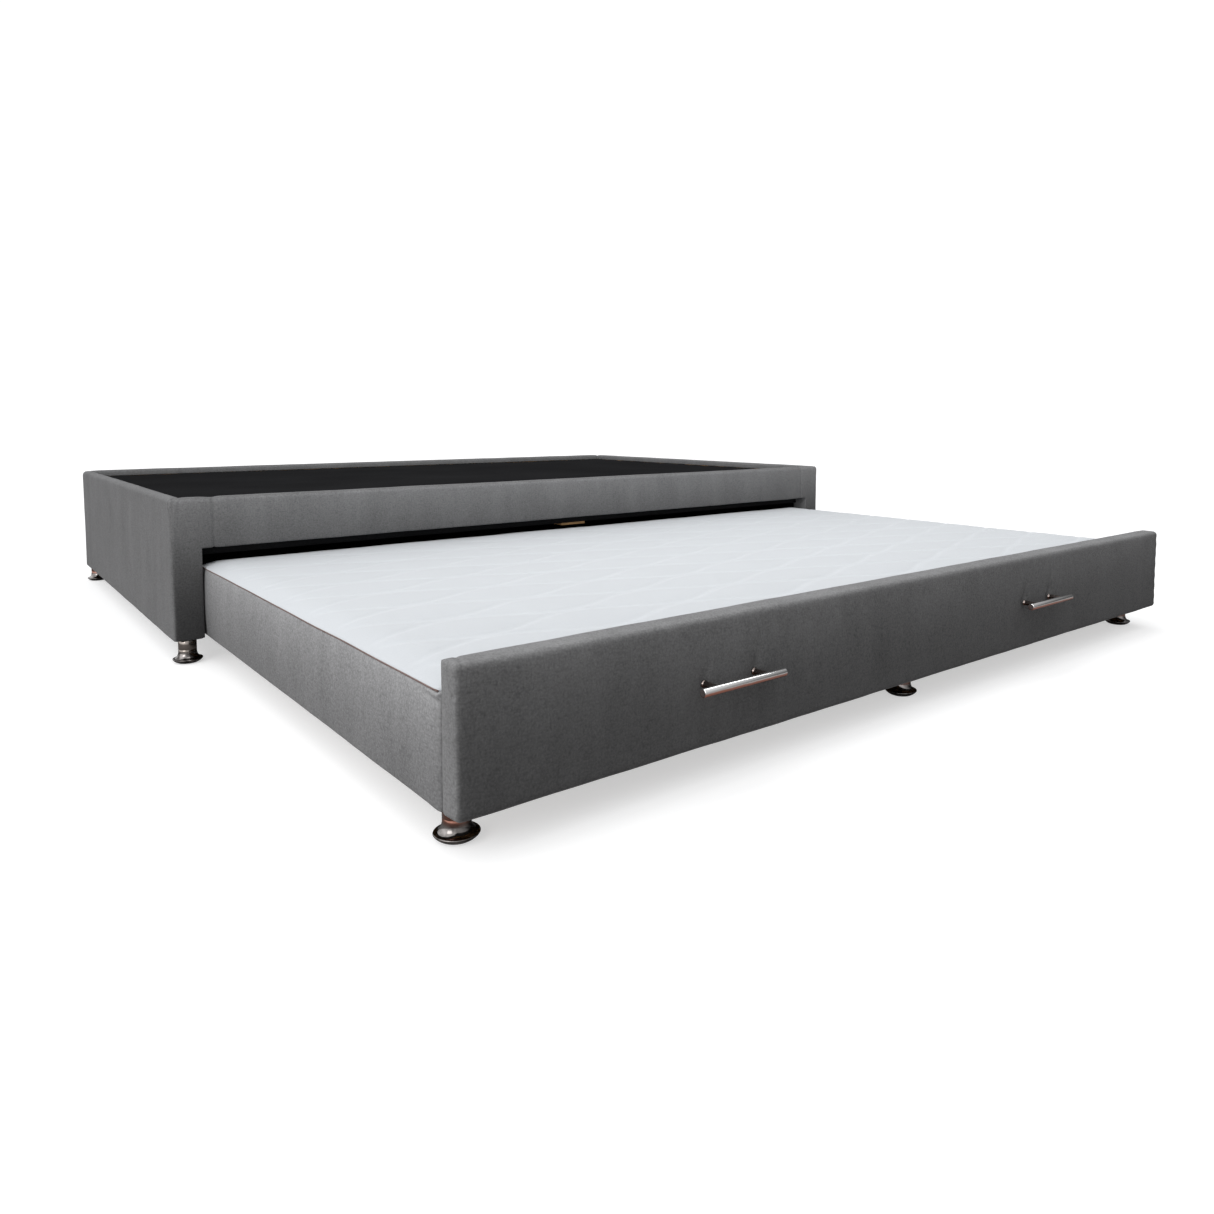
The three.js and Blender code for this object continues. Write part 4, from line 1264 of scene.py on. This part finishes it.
def make_casters():
    zinc = finish_named("zinc", zinc_finish)
    nylon = finish_named("nylon", nylon_finish)
    for name in ("left", "middle", "right"):
        bracket = name + "_caster_bracket"
        low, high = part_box(bracket)
        sheet = bmesh.new()
        sheet.from_mesh(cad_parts[bracket].data)
        bmesh.ops.remove_doubles(sheet, verts=sheet.verts, dist=1e-5)
        bmesh.ops.dissolve_limit(sheet, angle_limit=0.02, verts=sheet.verts, edges=sheet.edges)
        under = high.z - 0.003
        ears = [low.x + 0.006, high.x - 0.006]
        screws = [caster_screw(Vector((x, y, under)), 0.0036)
                  for x in ears for y in (low.y + 0.009, high.y - 0.009)]
        whole = join_meshes([sheet] + screws)
        piece = piece_from(whole, bracket + "_plated", zinc, "trundle", smooth=False)
        edge = piece.modifiers.new("Edges", "BEVEL")
        edge.width = 0.0004
        edge.segments = 2
        edge.limit_method = "ANGLE"
        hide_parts(bracket)
        make_axle(name, zinc)
        make_wheel(name, nylon)


def make_axle(name, finish):
    low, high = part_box(name + "_axle")
    half = (high.x - low.x) / 2
    radius = (high.z - low.z) / 2
    cap = 0.0018
    profile = [(0.0, -half - cap), (radius * 0.9, -half - cap), (radius * 1.35, -half - 0.0006)]
    profile += [(radius * 1.35, -half + 0.0004), (radius, -half + 0.0008)]
    profile += [(r, -z) for r, z in reversed(profile)]
    mesh = turned_shape(profile, 32)
    laid_along(mesh, "X")
    piece = piece_from(moved(mesh, (low + high) / 2), name + "_axle_pin", finish, "trundle")
    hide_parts(name + "_axle")


def make_wheel(name, finish):
    """A nylon wheel with a crowned tread, dished sides, a raised hub and six ribs."""
    low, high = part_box(name + "_wheel")
    radius = (high.z - low.z) / 2
    half = (high.x - low.x) / 2
    bore = 0.0044
    hub = 0.011
    dish = 0.0032
    side = [(bore, half), (hub - 0.0008, half), (hub, half - 0.0008), (hub + 0.0012, half - dish)]
    side += [(radius - 0.0062, half - dish), (radius - 0.0050, half - 0.0006), (radius - 0.0040, half)]
    side += arc((radius - 0.0028, half - 0.0026), 0.0024, QUARTER, 0.15, 4)
    side += [(radius, half * 0.35)]
    profile = side + [(r, -z) for r, z in reversed(side)]
    parts = [turned_shape(profile + profile[:1], 64)]
    ribs = 6
    for face in (-1, 1):
        for number in range(ribs):
            rib = bmesh.new()
            bmesh.ops.create_cube(rib, size=1.0)
            bmesh.ops.scale(rib, vec=(radius - hub - 0.0055, 0.0016, 0.0024), verts=rib.verts)
            moved(rib, ((radius + hub - 0.0045) / 2, 0, face * (half - dish + 0.0008)))
            bmesh.ops.rotate(rib, verts=rib.verts, cent=(0, 0, 0),
                             matrix=Matrix.Rotation(2 * math.pi * number / ribs, 3, "Z"))
            parts.append(rib)
    whole = join_meshes(parts)
    laid_along(whole, "X")
    moved(whole, (low + high) / 2)
    piece = piece_from(whole, name + "_nylon_wheel", finish, name + "_wheel")
    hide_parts(name + "_wheel")


# ---- timber, plywood and foam that stay as they are in the frame ----
def dress(node, finish):
    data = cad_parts[node].data
    data.materials.clear()
    data.materials.append(finish)


def dress_frame():
    pine = tuple(colours().pine)
    grains = {along: finish_named("pine" + along, timber_finish, "Pine along " + along, along, pine)
              for along in "XYZ"}
    groups = {
        "X": ("back_board", "front_rail_board", "front_deck_cleat", "back_deck_cleat", "trundle_front_rail",
              "trundle_back_rail", "front_panel_board"),
        "Y": ("left_end_board", "right_end_board", "left_deck_cleat", "right_deck_cleat", "left_joist",
              "centre_joist", "right_joist", "trundle_left_rail", "trundle_right_rail", "trundle_left_beam",
              "trundle_middle_beam", "trundle_right_beam"),
        "Z": ("front_left_post", "front_right_post", "back_left_post", "back_right_post"),
    }
    for along, nodes in groups.items():
        for node in nodes:
            dress(node, grains[along])
    for node in ("deck_board", "trundle_deck"):
        dress(node, finish_named("plywood", plywood_finish))
    dress("trundle_foam", finish_named("foam", foam_finish))


# ---- the studio ----
CAMERA_PLACE = (-1.3442, -2.0132, 0.4925)
CAMERA_TURN = 39.087
CAMERA_TILT = -4.038
LENS = 26.38
SHIFT = (-0.0334, -0.1029)
BRIGHTEST = (-0.88, 0.12, 0.46)


def floor_finish():
    """Pale to look at, and a mid grey in the light that it throws back on the bed."""
    material, tree, shader = blank_finish("Pale floor")
    patches = grain(tree, object_place(tree), 1.5, 2.0)
    pale = two_tone(tree, patches, (0.56, 0.56, 0.56), (0.60, 0.60, 0.60))
    seen = put(tree, "LightPath").outputs["Is Camera Ray"]
    tree.links.new(two_tone(tree, seen, (0.28, 0.27, 0.265), pale), shader.inputs["Base Color"])
    fix(shader, {"Roughness": 0.9, "Specular IOR Level": 0.1, "Emission Color": (1.0, 1.0, 1.0, 1.0)})
    tree.links.new(spread(tree, seen, 0.0, 1.0, 0.0, 0.52), shader.inputs["Emission Strength"])
    return material


def studio_sky():
    """Soft light from the upper left, with a plain white backdrop."""
    world = bpy.data.worlds.new("Studio")
    bpy.context.scene.world = world
    world.use_nodes = True
    tree = world.node_tree
    tree.nodes.clear()
    way = put(tree, "TexCoord").outputs["Generated"]
    towards = put(tree, "VectorMath", {0: way, 1: BRIGHTEST}, operation="DOT_PRODUCT").outputs["Value"]
    level = spread(tree, towards, -0.75, 1.0, 0.10, 1.70)
    light = put(tree, "Background", {"Color": (0.985, 0.99, 1.0, 1.0), "Strength": level}).outputs[0]
    plain = put(tree, "Background", {"Color": (1.0, 1.0, 1.0, 1.0), "Strength": 1.05}).outputs[0]
    seen = put(tree, "LightPath").outputs["Is Camera Ray"]
    mixed = put(tree, "MixShader", {0: seen, 1: light, 2: plain}).outputs[0]
    put(tree, "OutputWorld", {"Surface": mixed})


def soft_box(name, place, target, width, height, power):
    light = bpy.data.lights.new(name, "AREA")
    light.shape = "RECTANGLE"
    light.size = width
    light.size_y = height
    light.energy = power
    lamp = bpy.data.objects.new(name, light)
    lamp.location = place
    lamp.visible_camera = False
    lamp.rotation_euler = (Vector(target) - Vector(place)).to_track_quat("-Z", "Y").to_euler()
    bpy.context.scene.collection.objects.link(lamp)


def make_stage():
    floor_mesh = bmesh.new()
    bmesh.ops.create_grid(floor_mesh, x_segments=1, y_segments=1, size=40.0)
    data = bpy.data.meshes.new("studio_floor")
    floor_mesh.to_mesh(data)
    floor_mesh.free()
    floor = bpy.data.objects.new("studio_floor", data)
    bpy.context.scene.collection.objects.link(floor)
    data.materials.append(floor_finish())
    studio_sky()
    soft_box("overhead", (0.0, -0.9, 1.6), (0.0, -0.06, 0.25), 2.6, 0.5, 13.0)
    soft_box("left", (-3.3, -1.6, 1.2), (-0.8, -0.5, 0.1), 1.6, 1.2, 16.0)
    camera = bpy.data.objects.new("camera", bpy.data.cameras.new("camera"))
    camera.location = CAMERA_PLACE
    camera.rotation_euler = (QUARTER + math.radians(CAMERA_TILT), 0.0, -math.radians(CAMERA_TURN))
    camera.data.lens = LENS
    camera.data.sensor_width = 36.0
    camera.data.shift_x, camera.data.shift_y = SHIFT
    camera.data.clip_end = 200.0
    bpy.context.scene.collection.objects.link(camera)
    bpy.context.scene.camera = camera
    bpy.context.scene.view_settings.view_transform = "Standard"


# ---- operators, one for each piece or group of like pieces ----
class TRUNDLE_OT_stage(bpy.types.Operator):
    """Adds the pale floor, the soft light and the camera"""

    bl_idname = "trundle.stage"
    bl_label = "Studio"

    def execute(self, context):
        make_stage()
        return {"FINISHED"}


class TRUNDLE_OT_frame(bpy.types.Operator):
    """Gives the timber, plywood and foam their finishes"""

    bl_idname = "trundle.frame"
    bl_label = "Timber, plywood and foam"

    def execute(self, context):
        dress_frame()
        return {"FINISHED"}


class TRUNDLE_OT_base_cover(bpy.types.Operator):
    """Sews the grey cover over the base"""

    bl_idname = "trundle.base_cover"
    bl_label = "Base cover"

    def execute(self, context):
        make_base_cover()
        return {"FINISHED"}


class TRUNDLE_OT_linings(bpy.types.Operator):
    """Stretches the black lining over the deck, and hangs black sheets under it as painted shade, round the bay
    and behind the rail
    """

    bl_idname = "trundle.linings"
    bl_label = "Black linings"

    def execute(self, context):
        make_deck_lining()
        make_bay_shade_sheet()
        make_rail_shade_flap()
        return {"FINISHED"}


class TRUNDLE_OT_skirt(bpy.types.Operator):
    """Covers the lower bed's sides and back, with a taped edge at the top"""

    bl_idname = "trundle.skirt"
    bl_label = "Lower bed skirt"

    def execute(self, context):
        make_skirt()
        make_binding()
        return {"FINISHED"}


class TRUNDLE_OT_quilted_top(bpy.types.Operator):
    """Makes the lower bed's white quilted top"""

    bl_idname = "trundle.quilted_top"
    bl_label = "Quilted top"

    def execute(self, context):
        make_quilted_top()
        return {"FINISHED"}


class TRUNDLE_OT_front_panel(bpy.types.Operator):
    """Upholsters the lower bed's front panel"""

    bl_idname = "trundle.front_panel"
    bl_label = "Front panel"

    def execute(self, context):
        make_front_panel()
        return {"FINISHED"}


class TRUNDLE_OT_handles(bpy.types.Operator):
    """Turns the two bar handles"""

    bl_idname = "trundle.handles"
    bl_label = "Bar handles"

    def execute(self, context):
        make_handles()
        return {"FINISHED"}


class TRUNDLE_OT_feet(bpy.types.Operator):
    """Turns the metal feet of both beds"""

    bl_idname = "trundle.feet"
    bl_label = "Feet"

    def execute(self, context):
        make_feet()
        return {"FINISHED"}


class TRUNDLE_OT_casters(bpy.types.Operator):
    """Makes the casters' brackets, axles and wheels"""

    bl_idname = "trundle.casters"
    bl_label = "Casters"

    def execute(self, context):
        make_casters()
        return {"FINISHED"}


STEPS = (TRUNDLE_OT_stage, TRUNDLE_OT_frame, TRUNDLE_OT_base_cover, TRUNDLE_OT_linings, TRUNDLE_OT_skirt,
         TRUNDLE_OT_quilted_top, TRUNDLE_OT_front_panel, TRUNDLE_OT_handles, TRUNDLE_OT_feet,
         TRUNDLE_OT_casters)


class TRUNDLE_PT_sidebar(bpy.types.Panel):
    """Lists the steps that upholster the bed"""

    bl_label = "Trundle bed"
    bl_idname = "TRUNDLE_PT_sidebar"
    bl_space_type = "VIEW_3D"
    bl_region_type = "UI"
    bl_category = "Trundle bed"

    def draw(self, context):
        for step in STEPS:
            self.layout.operator(step.bl_idname)
        for group in (context.scene.trundle_bed_sizes, context.scene.trundle_bed_colours):
            box = self.layout.box()
            for name in group.__annotations__:
                box.prop(group, name)


CLASSES = (BedSizes, BedColours, *STEPS, TRUNDLE_PT_sidebar)


def register():
    for item in CLASSES:
        bpy.utils.register_class(item)
    bpy.types.Scene.trundle_bed_sizes = PointerProperty(type=BedSizes)
    bpy.types.Scene.trundle_bed_colours = PointerProperty(type=BedColours)


def unregister():
    del bpy.types.Scene.trundle_bed_colours
    del bpy.types.Scene.trundle_bed_sizes
    for item in reversed(CLASSES):
        bpy.utils.unregister_class(item)


def main():
    register()
    for step in STEPS:
        group, name = step.bl_idname.split(".")
        getattr(getattr(bpy.ops, group), name)()


if __name__ == "__main__":
    main()
